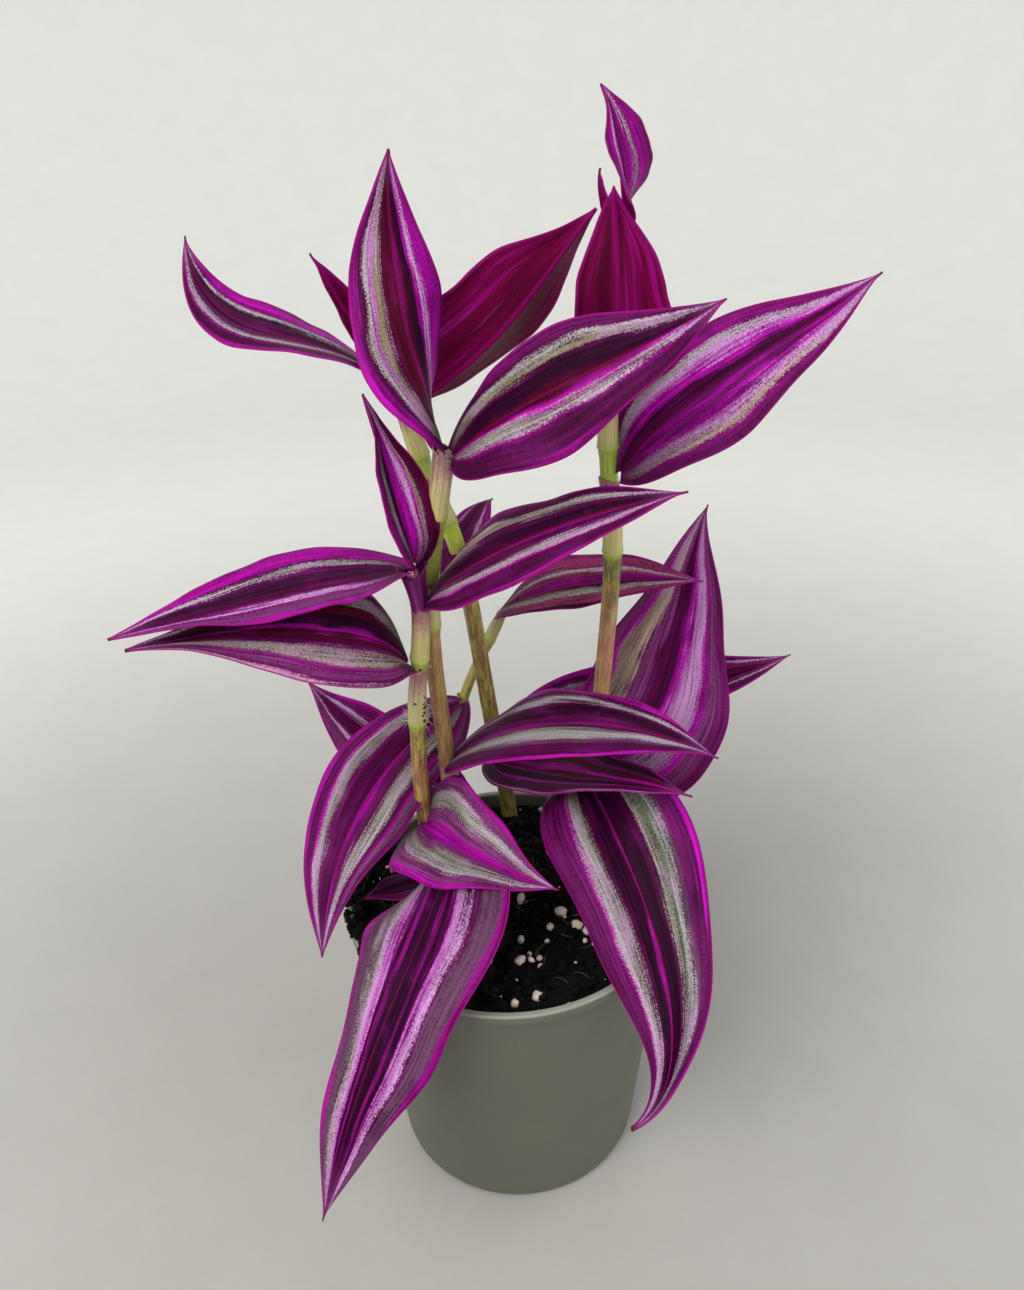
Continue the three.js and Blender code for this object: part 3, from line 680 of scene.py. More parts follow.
def soil_ground(draw):
    """The soil's surface as fine rings, closed below by a plain body."""
    phases = [[(draw.uniform(0, math.pi), draw.uniform(0, 6.3)) for _ in range(6)] for _ in range(3)]
    reach = inner_radius(SOIL_LEVEL) - 0.1
    radii = np.linspace(reach, 0.01, SOIL_RINGS)
    angles = around(SOIL_SIDES)
    x, y = np.outer(radii, np.cos(angles)), np.outer(radii, np.sin(angles))
    z = soil_height(x, y) - 0.5
    for size, height, waves in zip((5.0, 2.6, 1.3), (0.9, 0.6, 0.35), phases):
        z += height * lumps(x, y, waves, size)
    z += draw.normal(0, 0.12, z.shape)
    low = [
        np.stack([r * np.cos(angles), r * np.sin(angles), np.full(SOIL_SIDES, SOIL_FOOT)], -1)
        for r in (0.01, inner_radius(SOIL_FOOT) - 0.4)
    ]
    grid = np.concatenate([low, np.stack([x, y, z], -1)])
    return grid, grid_faces(len(grid), SOIL_SIDES, closed=True)


def ball(subdivisions):
    """Points and triangles of a unit icosphere."""
    form = bmesh.new()
    bmesh.ops.create_icosphere(form, subdivisions=subdivisions, radius=1)
    points = np.array([vertex.co[:] for vertex in form.verts])
    faces = np.array([[vertex.index for vertex in face.verts] for face in form.faces])
    form.free()
    return points, faces


def lump(draw, points, size, roughness):
    """A rough, slightly flattened lump made from a unit ball."""
    stretch = draw.uniform(0.65, 1.2, 3)
    rough = 1 + roughness * draw.normal(0, 1, (len(points), 1))
    turn = Matrix.Rotation(draw.uniform(0, 6.3), 3, Vector(draw.normal(0, 1, 3)).normalized())
    return (points * rough * stretch * size) @ np.array(turn)


def soil_spot(draw, margin):
    """A place on the soil, clear of the pot's wall."""
    reach = (inner_radius(SOIL_LEVEL) - margin) * math.sqrt(draw.uniform(0, 1))
    angle = draw.uniform(0, 2 * math.pi)
    return reach * math.cos(angle), reach * math.sin(angle)


def dark_soil():
    paint = Paint("dark_soil")
    fine = paint.noise(paint.places(), 900, 6, 0.7)
    broad = paint.noise(paint.places(), 140, 3)
    tones = paint.ramp(fine, [(0.35, "#010001"), (0.52, "#040203"), (0.66, "#0b0708"), (0.82, "#2c2026")])
    body = paint.mix(broad.above(0.35, 0.75) * 0.6, tones[0], "#030203")
    rough = paint.bump(fine, 0.5, 0.9)
    return paint.finish(Base_Color=body, Specular_IOR_Level=0.15, Roughness=fine * 0.5 + 0.5, Normal=rough)


def bark():
    paint = Paint("bark")
    grain = paint.noise(paint.places(), 700, 4, 0.7)
    body = paint.mix(grain.above(0.3, 0.7), "#1a100b", "#442c1c")
    return paint.finish(Base_Color=body, Roughness=0.8, Normal=paint.bump(grain, 0.2, 0.8))


def perlite():
    paint = Paint("perlite")
    pores = paint.cells(paint.places(), 2200)
    stain = paint.noise(paint.places(), 260, 3)
    body = paint.coats(
        paint.mix(stain.above(0.45, 0.75), "#d6cbc2", "#b08a76"), (pores.above(0.35, 0.1) * 0.4, "#8a7468"),
    )
    return paint.finish(Base_Color=body, Roughness=0.85, Normal=paint.bump(pores, 0.2, 0.8))


def make_soil():
    draw = np.random.default_rng(5)
    shape = Shape()
    shape.add(*soil_ground(draw))
    ball_points, ball_faces = ball(1)
    for _ in range(CRUMBS):
        size = 0.35 + 1.9 * draw.uniform(0, 1) ** 3
        x, y = soil_spot(draw, size + 0.5)
        z = soil_height(x, y) + draw.uniform(-0.5, 0.6)
        shape.add(lump(draw, ball_points, size, CRUMB_ROUGHNESS) + (x, y, z), ball_faces)
    # Dark crumbs over part of the pot's rim, which make the rim dark there.
    for _ in range(RIM_CRUMBS):
        angle = math.radians(draw.uniform(*RIM_CRUMB_ARC))
        reach, size = draw.uniform(RIM_RADIUS - 4, RIM_RADIUS + 0.4), draw.uniform(*RIM_CRUMB_SIZE)
        place = (reach * math.cos(angle), reach * math.sin(angle), POT_HEIGHT + draw.uniform(-0.4, 0.8))
        shape.add(lump(draw, ball_points, size, CRUMB_ROUGHNESS) + place, ball_faces)
    shape.piece("soil_ground", [dark_soil()], "potting_soil", "soil")
    make_fibres(draw)
    make_perlite(draw)


def make_fibres(draw):
    """Slivers of bark and root that lie on the soil."""
    shape = Shape()
    sides, steps = 5, 6
    angles = around(sides)
    for _ in range(FIBRES):
        length, radius = draw.uniform(*FIBRE_LENGTH), draw.uniform(*FIBRE_RADIUS)
        x, y = soil_spot(draw, length / 2 + 1)
        turn, bend = draw.uniform(0, 6.3), draw.uniform(-0.8, 0.8)
        rings = []
        for u in np.linspace(-0.5, 0.5, steps):
            heading = turn + bend * u
            centre = np.array([x + u * length * math.cos(heading), y + u * length * math.sin(heading), 0])
            centre[2] = soil_height(centre[0], centre[1]) + 0.45 + 0.5 * bend * u
            thin = radius * (1 - 1.6 * abs(u) ** 2)
            side = np.array([-math.sin(heading), math.cos(heading), 0])
            section = np.outer(np.cos(angles), side) + np.outer(np.sin(angles), (0, 0, 0.6))
            rings.append(centre + thin * section)
        shape.add(np.array(rings), grid_faces(steps, sides, closed=True))
    shape.piece("soil_fibres", [bark()], "potting_soil")


def make_perlite(draw):
    shape = Shape()
    points, faces = ball(2)
    spots = list(PERLITE)
    while len(spots) < len(PERLITE) + SMALL_PERLITE:
        spots.append((*soil_spot(draw, 2.5), 0.35 + 1.1 * draw.uniform(0, 1) ** 3))
    for x, y, size in spots:
        centre = (x, y, soil_height(x, y) + 0.35 * size)
        shape.add(lump(draw, points, size, PERLITE_ROUGHNESS) + centre, faces)
    shape.piece("soil_perlite", [perlite()], "potting_soil")


# ---------------------------------------------------------------- stems

def stem_axis(path, samples=40):
    """Points of a centripetal Catmull-Rom curve through the path."""
    knots = np.array(path, float)
    knots = np.concatenate([[2 * knots[0] - knots[1]], knots, [2 * knots[-1] - knots[-2]]])
    points = []
    for p0, p1, p2, p3 in zip(knots, knots[1:], knots[2:], knots[3:]):
        d0, d1, d2 = (math.sqrt(np.linalg.norm(q - p)) for p, q in ((p0, p1), (p1, p2), (p2, p3)))
        start = ((p1 - p0) / d0 - (p2 - p0) / (d0 + d1) + (p2 - p1) / d1) * d1
        end = ((p2 - p1) / d1 - (p3 - p1) / (d1 + d2) + (p3 - p2) / d2) * d1
        u = np.linspace(0, 1, samples, endpoint=False)[:, None]
        points.append(
            p1 + start * u + (3 * (p2 - p1) - 2 * start - end) * u ** 2
            + (2 * (p1 - p2) + start + end) * u ** 3
        )
    return np.concatenate([*points, [knots[-2]]])


def foot_and_tip(stem):
    """The heights at which the stem starts and ends."""
    return stem["path"][0][2], stem["path"][-1][2]


def axis_at(axis, heights):
    """The axis at each height."""
    return np.stack([np.interp(heights, axis[:, 2], axis[:, i]) for i in range(3)], axis=-1)


def stem_radius(stem, height):
    """The stem's radius, with a swelling at each node."""
    foot, tip = foot_and_tip(stem)
    radius = np.interp(height, (foot, tip), stem["radius"])
    for low, _ in stem["sheaths"]:
        radius = radius + NODE_BULGE * np.exp(-(((height - low) / NODE_LENGTH) ** 2))
    return radius


def ring_frames(axis, heights):
    """Centre, side and front of a ring at each height."""
    centres = axis_at(axis, heights)
    along = unit(axis_at(axis, heights + 1) - axis_at(axis, heights - 1))
    side = unit(np.cross((0, 1, 0), along))
    return centres, side, np.cross(along, side)


def tube(axis, heights, radii, lift=None):
    """A grid of points round the axis. radii and lift hold a number for each ring and side."""
    centres, side, front = ring_frames(axis, heights)
    angles = around(STEM_SIDES)
    out = side[:, None] * np.cos(angles)[:, None] + front[:, None] * np.sin(angles)[:, None]
    points = centres[:, None] + out * radii[..., None]
    if lift is not None:
        points[..., 2] += lift
    return points


def stalk_values(heights):
    """Two places round the stem and the height, for each point of a tube."""
    angles = around(STEM_SIDES)
    grid = np.stack(np.meshgrid(heights, angles, indexing="ij"), -1)
    return np.stack([np.cos(grid[..., 1]), np.sin(grid[..., 1]), grid[..., 0]], -1).reshape(-1, 3)


def add_core(shape, stem, axis):
    """The bare stem, faintly ribbed, with a rounded tip."""
    foot, tip = foot_and_tip(stem)
    heights = np.arange(foot, tip, STEM_STEP)
    angles = around(STEM_SIDES)
    ribs = 0.045 * np.cos(9 * angles) + 0.03 * np.cos(5 * angles + 1)
    radii = stem_radius(stem, heights)[:, None] + ribs
    radii[-3:] *= np.array([0.96, 0.8, 0.4])[:, None]
    points = tube(axis, heights, radii)
    shape.add(points, grid_faces(len(heights), STEM_SIDES, closed=True), CORE, stalk=stalk_values(heights))


def add_skin(shape, axis, heights, outer, lift, slot):
    """A thin tube with an outer and an inner face, joined at its upper rim."""
    outside = tube(axis, heights, outer, lift)
    inside = tube(axis, heights, outer - SKIN, lift)
    values = stalk_values(heights).reshape(len(heights), -1, 3)
    both = np.concatenate([values, values[::-1]]).reshape(-1, 3)
    grid = np.concatenate([outside, inside[::-1]])
    shape.add(grid, grid_faces(len(grid), STEM_SIDES, closed=True), slot, stalk=both)


def add_sheath(shape, stem, axis, low, high, facing):
    """A papery tube round the stem with a slanting rim, highest on the side that it faces."""
    heights = np.arange(low + 0.4, high + 0.3, STEM_STEP / 2)
    u = (heights - low) / (high - low)
    angles = around(STEM_SIDES)
    veins = 0.05 * np.cos(12 * angles)
    flare = SHEATH_STEP + 0.06 * np.sin(math.pi * u) + 0.1 * np.clip((u - 0.85) / 0.15, 0, 1) ** 2
    outer = stem_radius(stem, heights)[:, None] + flare[:, None] + veins
    slant = np.clip(u - 0.5, 0, 1)[:, None] * 2.4 * np.cos(angles - facing)
    add_skin(shape, axis, heights, outer, slant, SHEATH)


def add_funnel(shape, stem, axis):
    """The purple foot of the topmost blades, rolled round the stem and opening upwards."""
    low, high = stem["funnel"]
    heights = np.arange(low, high, STEM_STEP / 2)
    u = (heights - low) / (high - low)
    angles = around(STEM_SIDES)
    spread = 0.15 + 1.5 * u[:, None] ** 2.5 + 0.5 * u[:, None] * np.cos(angles) ** 2
    folds = 0.12 * u[:, None] * np.cos(7 * angles)
    outer = stem_radius(stem, heights)[:, None] + spread + folds
    lift = 1.6 * (1 - u)[:, None] * np.cos(angles - 0.4) + 1.2 * u[:, None] * np.cos(2 * angles)
    add_skin(shape, axis, heights, outer, lift, FUNNEL)


def height_zones(paint, stem, height, colours):
    """Colours that change with the height, from pairs of height and colour."""
    foot, tip = foot_and_tip(stem)
    stops = [((z - foot) / (tip - foot), tone) for z, tone in colours]
    return paint.ramp((height - foot) / (tip - foot), stops)[0]


def stem_skin(stem, tints):
    """Green, brown and pink streaks that run up the stem, in zones given by height."""
    paint = Paint(f"{stem['name']}_skin")
    x, y, height = paint.split(paint.attribute("stalk"))
    streaks = paint.noise((x * 2.4, y * 2.4, height * 0.06), 1.0, 5, 0.75)
    patches = paint.noise((x * 1.2, y * 1.2, height * 0.16), 1.0, 4, 0.7)
    lines = paint.noise((x * 8, y * 8, height * 0.12), 1.0, 4, 0.65)
    place = height + paint.noise((x * 2, y * 2, height * 0.2), 1.0, 2) * 8 - 4
    zones = height_zones(paint, stem, place, [(z, tone) for z, tone, _ in tints])
    stains = height_zones(paint, stem, place, [(z, tone) for z, _, tone in tints])
    body = paint.mix((streaks * 0.6 + patches * 0.4).above(0.45, 0.53), zones, stains)
    body = paint.mix(patches.above(0.5, 0.38) * 0.45, body, "#b49c50")
    body = paint.mix(streaks.above(0.54, 0.68) * 0.5, body, body, "MULTIPLY")
    body = paint.mix(patches.above(0.52, 0.62) * 0.35, body, stains, "MULTIPLY")
    body = paint.coats(
        body, (lines.above(0.55, 0.63) * 0.5, "#c0b068"), (lines.above(0.46, 0.37) * 0.6, "#54401c"),
    )
    for low, _ in stem["sheaths"]:
        band = (height - (low + 0.2)).math("ABSOLUTE").above(1.8, 0.5)
        body = paint.mix(band * 0.8, body, "#94a234")
    return paint.finish(Base_Color=body, Roughness=lines * 0.3 + 0.3, Normal=paint.bump(lines, 0.12, 0.6))


def sheath_skin(stem):
    """Cream skin with thin green veins, tinged with purple towards each rim."""
    paint = Paint(f"{stem['name']}_sheath")
    x, y, height = paint.split(paint.attribute("stalk"))
    lines = paint.noise((x * 8, y * 8, height * 0.012), 1.0, 2, 0.5)
    blush = paint.noise((x * 1.6, y * 1.6, height * 0.09), 1.0, 3)
    mottle = paint.noise((x * 5, y * 5, height * 0.9), 1.0, 4, 0.7)
    body = paint.coats(
        paint.mix(blush.above(0.42, 0.6), "#bda87e", "#b58e7a"),
        (lines.above(0.57, 0.62) * 0.75, "#6c6034"), (lines.above(0.45, 0.37) * 0.6, "#dcd0ac"),
    )
    for low, high in stem["sheaths"]:
        inside = height.above(high + 2.5, high + 1.5) * height.above(low - 0.5, low)
        rim = (height + blush * 6 + mottle * 14).above(high - 1, high + 9) * inside
        pith = (height + mottle * 6).above(low + 15, low + 8) * inside
        root = (height - low).math("ABSOLUTE").above(3.0, 0.8)
        body = paint.coats(body, (rim * 0.8, "#80445a"), (pith * 0.6, "#b0b062"), (root * 0.65, "#98a63a"))
    return paint.finish(Base_Color=body, Roughness=0.5, Normal=paint.bump(lines, 0.15, 0.6))


def funnel_skin(stem):
    """Magenta and purple, streaked lengthwise."""
    paint = Paint(f"{stem['name']}_funnel")
    x, y, height = paint.split(paint.attribute("stalk"))
    streaks = paint.noise((x * 3.5, y * 3.5, height * 0.03), 1.0, 4, 0.65)
    body = paint.coats(
        paint.mix(streaks.above(0.4, 0.6), "#480a3e", "#86107a"), (streaks.above(0.6, 0.68) * 0.6, "#a860a4"),
    )
    return paint.finish(Base_Color=body, Roughness=0.45, Normal=paint.bump(streaks, 0.3, 0.6))


def make_stems():
    for key, stem in STEMS.items():
        shape = Shape()
        axis = stem_axis(stem["path"])
        add_core(shape, stem, axis)
        for number, (low, high) in enumerate(stem["sheaths"]):
            add_sheath(shape, stem, axis, low, high, SHEATH_FACING[key] + math.pi * number)
        skins = [stem_skin(stem, STEM_TINTS[key]), sheath_skin(stem)]
        if "funnel" in stem:
            add_funnel(shape, stem, axis)
            skins.append(funnel_skin(stem))
        shape.piece(f"{stem['name']}_skin", skins, "stem", stem["name"])


def on_stem(stem, height, angle, out):
    """A point beside a stem, and the direction away from it there."""
    centre, side, front = (part[0] for part in ring_frames(stem_axis(stem["path"]), np.array([height])))
    away = side * math.cos(angle) + front * math.sin(angle)
    return centre + away * (stem_radius(stem, height) + out), away


def add_hair(draw, shape, stem, height, length):
    """A white hair that leaves a stem's rim outwards and upwards, and droops at its end."""
    root, away = on_stem(stem, height + draw.uniform(-0.6, 0.6), draw.uniform(0, 2 * math.pi), SHEATH_STEP)
    growth = unit(away + np.array([0, 0, draw.uniform(-0.3, 1.6)]) + draw.normal(0, 0.25, 3))
    corners = around(3)
    ring = np.stack([np.cos(corners), np.sin(corners), 0 * corners], -1)
    rings = []
    for u in (0, 0.35, 0.7, 1):
        centre = root + growth * u * length - np.array([0, 0, 0.35 * length * u * u])
        rings.append(centre + ring * HAIR_RADIUS * (1.1 - u))
    shape.add(np.array(rings), grid_faces(len(rings), len(corners), closed=True))


def make_hairs(draw):
    """Fine white hairs on the rims of the sheaths, thickest round the lowest node in front."""
    shape = Shape()
    for stem in STEMS.values():
        for _, high in stem["sheaths"]:
            for _ in range(HAIRS_ON_RIM):
                add_hair(draw, shape, stem, high, draw.uniform(*RIM_HAIR_LENGTH))
    key, foot = WOOLLY_NODE
    for _ in range(HAIRS_ON_WOOLLY_NODE):
        height = foot + WOOLLY_REACH * draw.uniform(0, 1) ** 2
        add_hair(draw, shape, STEMS[key], height, draw.uniform(*WOOLLY_HAIR_LENGTH))
    shape.piece("stem_hairs", [Paint("stem_hair").finish(Base_Color="#dad1c8", Roughness=0.6)], "stem")


def make_flecks(draw):
    """Small dark flecks stuck to the first stem."""
    shape = Shape()
    points, faces = ball(1)
    for height, angle in FLECKS:
        place, _ = on_stem(STEMS[WOOLLY_NODE[0]], height, math.radians(angle), SHEATH_STEP)
        shape.add(lump(draw, points, draw.uniform(*FLECK_SIZE), 0.15) + place, faces)
    paint = Paint("dark_fleck")
    body = paint.mix(paint.noise(paint.places(), 900, 2), "#0c0806", "#2a1c14")
    shape.piece("stem_flecks", [paint.finish(Base_Color=body, Roughness=0.7)], "stem")


# ---------------------------------------------------------------- leaves

def half_width(spec, t):
    """Half of the blade's width before ripples and lobes."""
    base_power = BLADE_TAPER * spec.belly / (1 - spec.belly)
    return spec.width / 2 * (t / spec.belly) ** base_power * ((1 - t) / (1 - spec.belly)) ** BLADE_TAPER


def blade_frames(spec, t):
    """The midrib's direction, and the directions to the blade's side and out of its upper face."""
    turn, lift = np.radians(through(spec.heading, t)), np.radians(through(spec.rise, t))
    along = np.stack([np.cos(lift) * np.cos(turn), np.cos(lift) * np.sin(turn), np.sin(lift)], -1)
    face = np.stack([-np.sin(lift) * np.cos(turn), -np.sin(lift) * np.sin(turn), np.cos(lift)], -1)
    side = np.stack([-np.sin(turn), np.cos(turn), np.zeros_like(t)], -1)
    roll = np.radians(spec.roll[0] + (spec.roll[1] - spec.roll[0]) * t)[:, None]
    return along, side * np.cos(roll) - face * np.sin(roll), face * np.cos(roll) + side * np.sin(roll)


def midrib(spec, t):
    """Points of the midrib, at shares of its length."""
    steps = np.linspace(0, 1, MIDRIB_STEPS)
    along = blade_frames(spec, (steps[1:] + steps[:-1]) / 2)[0]
    walked = np.concatenate([[(0, 0, 0)], np.cumsum(along, axis=0) * spec.length / (len(steps) - 1)])
    return np.array(spec.base) + np.stack([np.interp(t, steps, walked[:, i]) for i in range(3)], -1)


def half_spread(spec, seed, s, t):
    """The half width at each point of the blade, with its ripples, lobes and lean."""
    ripple = EDGE_RIPPLE * np.sin(EDGE_RIPPLES * 2 * math.pi * t + seed + 2 * np.sign(s))
    swollen = sum(
        share * (side * s > 0) * np.exp(-(((t - place) / LOBE_LENGTH) ** 2))
        for side, share, place in spec.lobes
    )
    return half_width(spec, t) * (1 + ripple + swollen + spec.lean * np.sign(s))


def relief(spec, seed, s, t, half):
    """How far each point stands off the plain blade: waves, tilt, crinkles and pleats."""
    reach, turns, swell = np.abs(s), 2 * math.pi * t, np.minimum(1, half / 8)
    crinkles = np.sin(CRINKLES * turns + 5 * seed + 3 * s) + np.sin(0.62 * CRINKLES * turns - seed - s)
    return (
        WAVE_SHARE * spec.width * reach ** 2 * np.sin(WAVES * turns + 2 * s)
        + TILT * swell * s * np.sin(1.3 * turns + 7 * seed)
        + CRINKLE * swell * reach ** 4 * crinkles
        + PLEAT * swell * (1 - reach) * np.sin(2 * math.pi * PLEATS * reach + seed)
    )


def blade_grids(spec, seed):
    """Points of the blade's upper and under faces, and the place of each on the blade.

    s goes from -1 at the right margin to 1 at the left, and t from 0 at the base to 1 at the tip.
    """
    u, v = np.linspace(0, 1, BLADE_ROWS), np.linspace(-1, 1, BLADE_COLUMNS)
    eased = 0.3 * u + 0.7 * (1 - np.cos(math.pi * u)) / 2
    rows = BLADE_ENDS[0] + (BLADE_ENDS[1] - BLADE_ENDS[0]) * eased
    s, t = v * (0.72 + 0.28 * v * v), rows[:, None]
    half, reach = half_spread(spec, seed, s, t), np.abs(s)
    arch, fold = math.radians(BLADE_ARCH), np.radians(spec.fold + TIP_PINCH * t ** 5)
    out = np.sign(s) * half * (np.sin(fold) - np.sin(fold - arch * reach)) / arch
    rise = half * (np.cos(fold - arch * reach) - np.cos(fold)) / arch + relief(spec, seed, s, t, half)
    back = BASE_LOBE * reach ** 2 * (1 - t) ** 6
    along, side, face = (direction[:, None] for direction in blade_frames(spec, rows))
    middle = midrib(spec, rows)[:, None] + side * out[..., None] + face * rise[..., None]
    middle = middle - along * back[..., None]
    normal = unit(np.cross(np.gradient(middle, axis=0), np.gradient(middle, axis=1)))
    near_rib = np.exp(-((s * half / RIB_WIDTH) ** 2)) * (1 - t) ** 0.5
    thick = MIDDLE_THICKNESS + (MARGIN_THICKNESS - MIDDLE_THICKNESS) * reach
    upper = middle + normal * (thick / 2 - GROOVE * near_rib)[..., None]
    under = middle - normal * (thick / 2 + KEEL * near_rib)[..., None]
    lamina = np.stack(np.broadcast_arrays(s, t, seed), -1)
    spread = np.stack(np.broadcast_arrays(s * half, t * spec.length, half), -1)
    return upper, under, lamina, spread


def rim_faces(rows, columns):
    """Quads that join the upper grid's border to the under grid's."""
    border = [
        *[row * columns for row in range(rows)],
        *[(rows - 1) * columns + column for column in range(1, columns)],
        *[row * columns + columns - 1 for row in range(rows - 2, -1, -1)],
        *range(columns - 2, 0, -1),
    ]
    below = rows * columns
    return [(a, a + below, b + below, b) for a, b in zip(border, border[1:] + border[:1])]


def bands(row):
    """The colours of a row, each with the place where it starts."""
    return zip((0, *row[1::2]), row[0::2])


def ground_stops(row, soft=0.03):
    """Ramp stops of the colours that lie under the pale stripes, up to each stripe's middle."""
    ground = []
    stripe_start = None
    for start, (tone, cover) in bands(row):
        if cover:
            stripe_start = start if stripe_start is None else stripe_start
            continue
        ground.append((start if stripe_start is None else (start + stripe_start) / 2, tone))
        stripe_start = None
    stops = [(0, ground[0][1])]
    ends = [start for start, _ in ground[2:]] + [1.2]
    for (_, before), (start, after), end in zip(ground, ground[1:], ends):
        inside = min(soft, (end - start) / 2, (start - stops[-1][0]) / 2)
        stops += [(start - inside, before), (start + inside, after)]
    return stops


def stripe_stops(row, soft=0.06):
    """Ramp stops of the pale stripes, with how far each covers the ground in the alpha."""
    stops = []
    clear = [0, 0, 0, 0]
    for (start, (tone, cover)), end in zip(bands(row), (*row[1::2], 1)):
        if cover:
            rgb = colour(tone)[:3]
            if not stops or stops[-1][1][3] == 0:
                stops.append((max(start - soft, 0), rgb + [0]))
            inside = min(soft, (end - start) / 2 - 0.005)
            stops += [(start + inside, rgb + [cover]), (end - inside, rgb + [cover])]
        elif stops and stops[-1][1][3] > 0:
            stops.append((start + soft, stops[-1][1][:3] + [0]))
    return stops or [(0, clear), (1, clear)]


def blade_marks(paint):
    """Places on a blade, and the noises that all of its colours share."""
    s, t, seed = paint.split(paint.attribute("lamina"))
    from_rib, from_base, half = paint.split(paint.attribute("spread"))
    drift = paint.noise((s * 1.3, t * 3.2, seed), 1.0, 2) - 0.5
    brush = paint.noise((s * 24, t * 2.4, seed), 1.0, 4, 0.65) - 0.5
    return SimpleNamespace(
        t=t, brush=brush, place=s.math("ABSOLUTE") + drift * 0.4 + brush * 0.16,
        is_left=s.math("GREATER_THAN", 0.0),
        from_rib=from_rib.math("ABSOLUTE"), to_margin=half - from_rib.math("ABSOLUTE"),
        veins=paint.noise((s * 80, from_base * 0.1, seed), 1.0, 2, 0.6),
        speck=paint.noise((from_rib * 3.4, from_base * 2.4, seed), 1.0, 4, 0.8),
        cross=paint.noise((from_rib * 0.6, from_base * 2.4, seed), 1.0, 2),
        cloud=paint.noise((from_rib * 0.16, from_base * 0.07, seed), 1.0, 3),
    )


def ground_colour(paint, marks, rows):
    """Dark and magenta bands, brighter and darker along fine streaks."""
    right, left = (paint.ramp(marks.place, ground_stops(row))[0] for row in rows)
    body = paint.coats(
        paint.mix(marks.is_left, right, left),
        (marks.cloud.above(0.46, 0.32) * 0.4, "#2a0626"), (marks.cloud.above(0.54, 0.7) * 0.25, "#7e1a76"),
    )
    body = paint.mix(marks.brush.above(0.02, 0.2) * 0.45, body, body, "ADD")
    shade = marks.veins * 0.6 + marks.brush + marks.cross * 0.4 + (marks.speck - 0.5) * 0.7
    return paint.mix(shade.above(0.56, 0.34) * 0.75, body, "#8a6a80", "MULTIPLY")


def pale_stripes(paint, marks, rows):
    """How far the pale stripes cover the ground, and their colour: greener near the base."""
    right, left = (paint.ramp(marks.place, stripe_stops(row)) for row in rows)
    cover = right[1] + (left[1] - right[1]) * marks.is_left
    worn = cover * 0.85 + marks.brush * 2.2 + (marks.speck - 0.5) * 3.2 + (marks.cloud - 0.5) * 1.1
    mask = worn.above(0.34, 0.7) * cover.above(0.0, 0.12) * marks.t.above(0.0, 0.05)
    grain = marks.speck * 0.75 + marks.veins * 0.25 + marks.brush * 0.35
    return mask, paint.coats(
        paint.mix(marks.is_left, right[0], left[0]),
        (marks.t.above(0.5, 0.12) * 0.35, "#5f6a50"), (marks.t.above(0.5, 0.95) * 0.45, "#be90c2"),
        (grain.above(0.55, 0.42) * 0.7, "#54405a"), (grain.above(0.56, 0.68) * 0.75, "#d4cad4"),
        (marks.cloud.above(0.5, 0.66) * 0.3, "#b87cbc"),
    )


def blade_edges(paint, marks, body):
    """Darker base, thin wine-red midrib and magenta margin, and a brown tip."""
    base = (marks.t * -1 + marks.brush * 0.12).above(-0.2, 0.0)
    rib = (marks.from_rib + marks.brush * 0.4).above(0.42, 0.16)
    tip = (marks.t + marks.speck * 0.01).above(0.985, 1.0)
    return paint.coats(
        body, (marks.t.above(0.84, 1.0) * 0.3, "#a45ea4"), (base * 0.5, "#34102a"), (rib * 0.55, "#6a0a44"),
        (marks.to_margin.above(0.6, 0.2) * 0.8, "#8c1070"), (tip, "#5a3018"),
    )


def upper_face(spec):
    """Lengthwise bands, with pale stripes that dissolve into specks and streaks."""
    paint = Paint(f"{spec.name}_upper")
    marks = blade_marks(paint)
    rows = (spec.right or spec.left, spec.left)
    mask, pale = pale_stripes(paint, marks, rows)
    body = paint.mix(mask, ground_colour(paint, marks, rows), pale)
    gloss = mask * 0.08 + marks.speck * 0.2 + 0.36
    bumps = paint.bump(marks.speck, 0.05, 0.5, paint.bump(marks.veins, 0.15, 0.6))
    return paint.finish(
        Base_Color=blade_edges(paint, marks, body), Roughness=gloss, Specular_IOR_Level=0.04, Normal=bumps,
    )


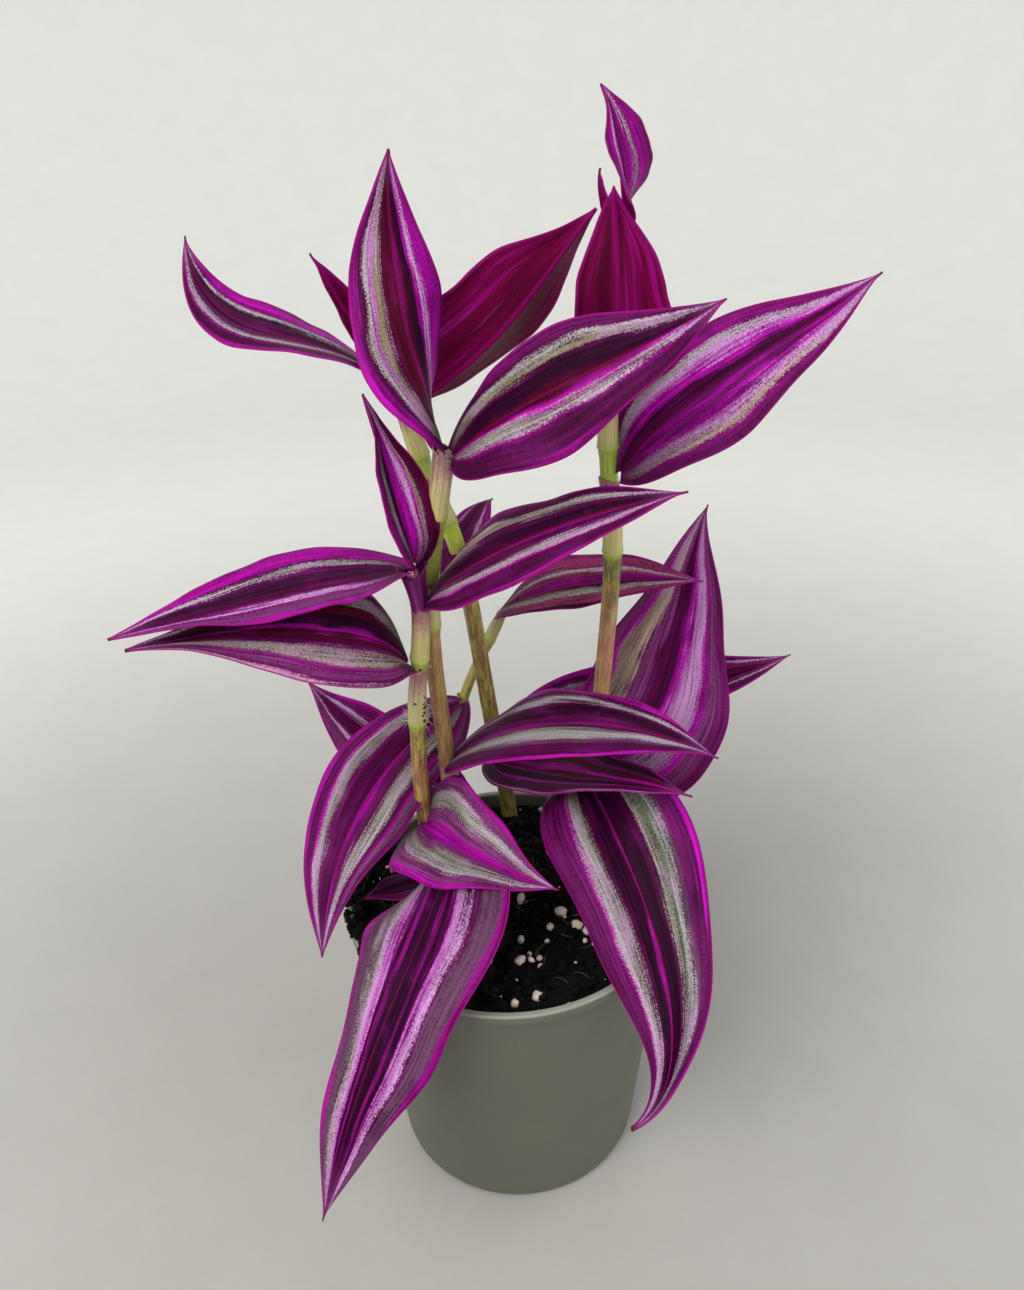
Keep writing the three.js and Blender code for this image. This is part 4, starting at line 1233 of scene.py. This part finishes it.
def under_face(spec):
    """Dark wine-red underside with broad magenta streaks and a few pale veins."""
    paint = Paint(f"{spec.name}_under")
    s, t, seed = paint.split(paint.attribute("lamina"))
    from_rib, from_base, half = paint.split(paint.attribute("spread"))
    broad = paint.noise((s * 3.4, t * 1.1, seed), 1.0, 3, 0.55)
    streak = paint.noise((s * 13, t * 1.3, seed), 1.0, 3, 0.6)
    veins = paint.noise((s * 60, from_base * 0.08, seed), 1.0, 2, 0.6)
    speck = paint.noise((from_rib * 2.2, from_base * 1.3, seed), 1.0, 3, 0.7)
    rib = (from_rib.math("ABSOLUTE") + streak).above(1.6, 0.8)
    margin = (half - from_rib.math("ABSOLUTE")).above(1.3, 0.3)
    body = paint.coats(
        paint.mix(broad.above(0.52, 0.4), "#640238", "#4c0226"),
        ((broad + streak * 0.5).above(0.8, 0.95) * 0.8, "#900872"),
        (streak.above(0.42, 0.3) * 0.5, "#36011a"), (streak.above(0.64, 0.7) * 0.25, "#a03c78"),
        (veins.above(0.5, 0.36) * 0.4, "#300220"), (speck.above(0.6, 0.8) * 0.2, "#7c2456"),
        (rib * 0.45, "#8a0668"), (margin * 0.6, "#8c0c70"),
    )
    gloss, bumps = speck * 0.25 + 0.32, paint.bump(veins, 0.12, 0.6)
    return paint.finish(Base_Color=body, Roughness=gloss, Specular_IOR_Level=0.03, Normal=bumps)


def make_leaves():
    points, quads = BLADE_ROWS * BLADE_COLUMNS, (BLADE_ROWS - 1) * (BLADE_COLUMNS - 1)
    faces = np.concatenate([
        grid_faces(BLADE_ROWS, BLADE_COLUMNS, flipped=True),
        grid_faces(BLADE_ROWS, BLADE_COLUMNS, start=points),
        rim_faces(BLADE_ROWS, BLADE_COLUMNS),
    ])
    for number, spec in enumerate(LEAVES):
        upper, under, lamina, spread = blade_grids(spec, 1.7 * number + 3)
        values = {"lamina": lamina, "spread": spread}
        both = {key: np.concatenate([value, value]).reshape(-1, 3) for key, value in values.items()}
        shape = Shape()
        shape.add(np.concatenate([upper, under]), faces, **both)
        shape.slots[quads:2 * quads] = [1] * quads
        skins = [upper_face(spec), under_face(spec)]
        shape.piece(spec.name.replace("leaf", "blade"), skins, "leaf", spec.name)


# ---------------------------------------------------------------- the whole plant


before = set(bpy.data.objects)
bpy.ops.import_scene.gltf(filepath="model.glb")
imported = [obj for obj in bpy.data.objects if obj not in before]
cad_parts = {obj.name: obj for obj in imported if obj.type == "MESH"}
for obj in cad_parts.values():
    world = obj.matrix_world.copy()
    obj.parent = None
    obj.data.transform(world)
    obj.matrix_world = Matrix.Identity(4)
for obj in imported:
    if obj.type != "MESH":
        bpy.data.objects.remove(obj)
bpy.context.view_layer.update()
draw = np.random.default_rng(7)
make_camera()
make_light()
make_floor()
make_pot()
make_soil()
make_stems()
make_hairs(draw)
make_flecks(draw)
make_leaves()
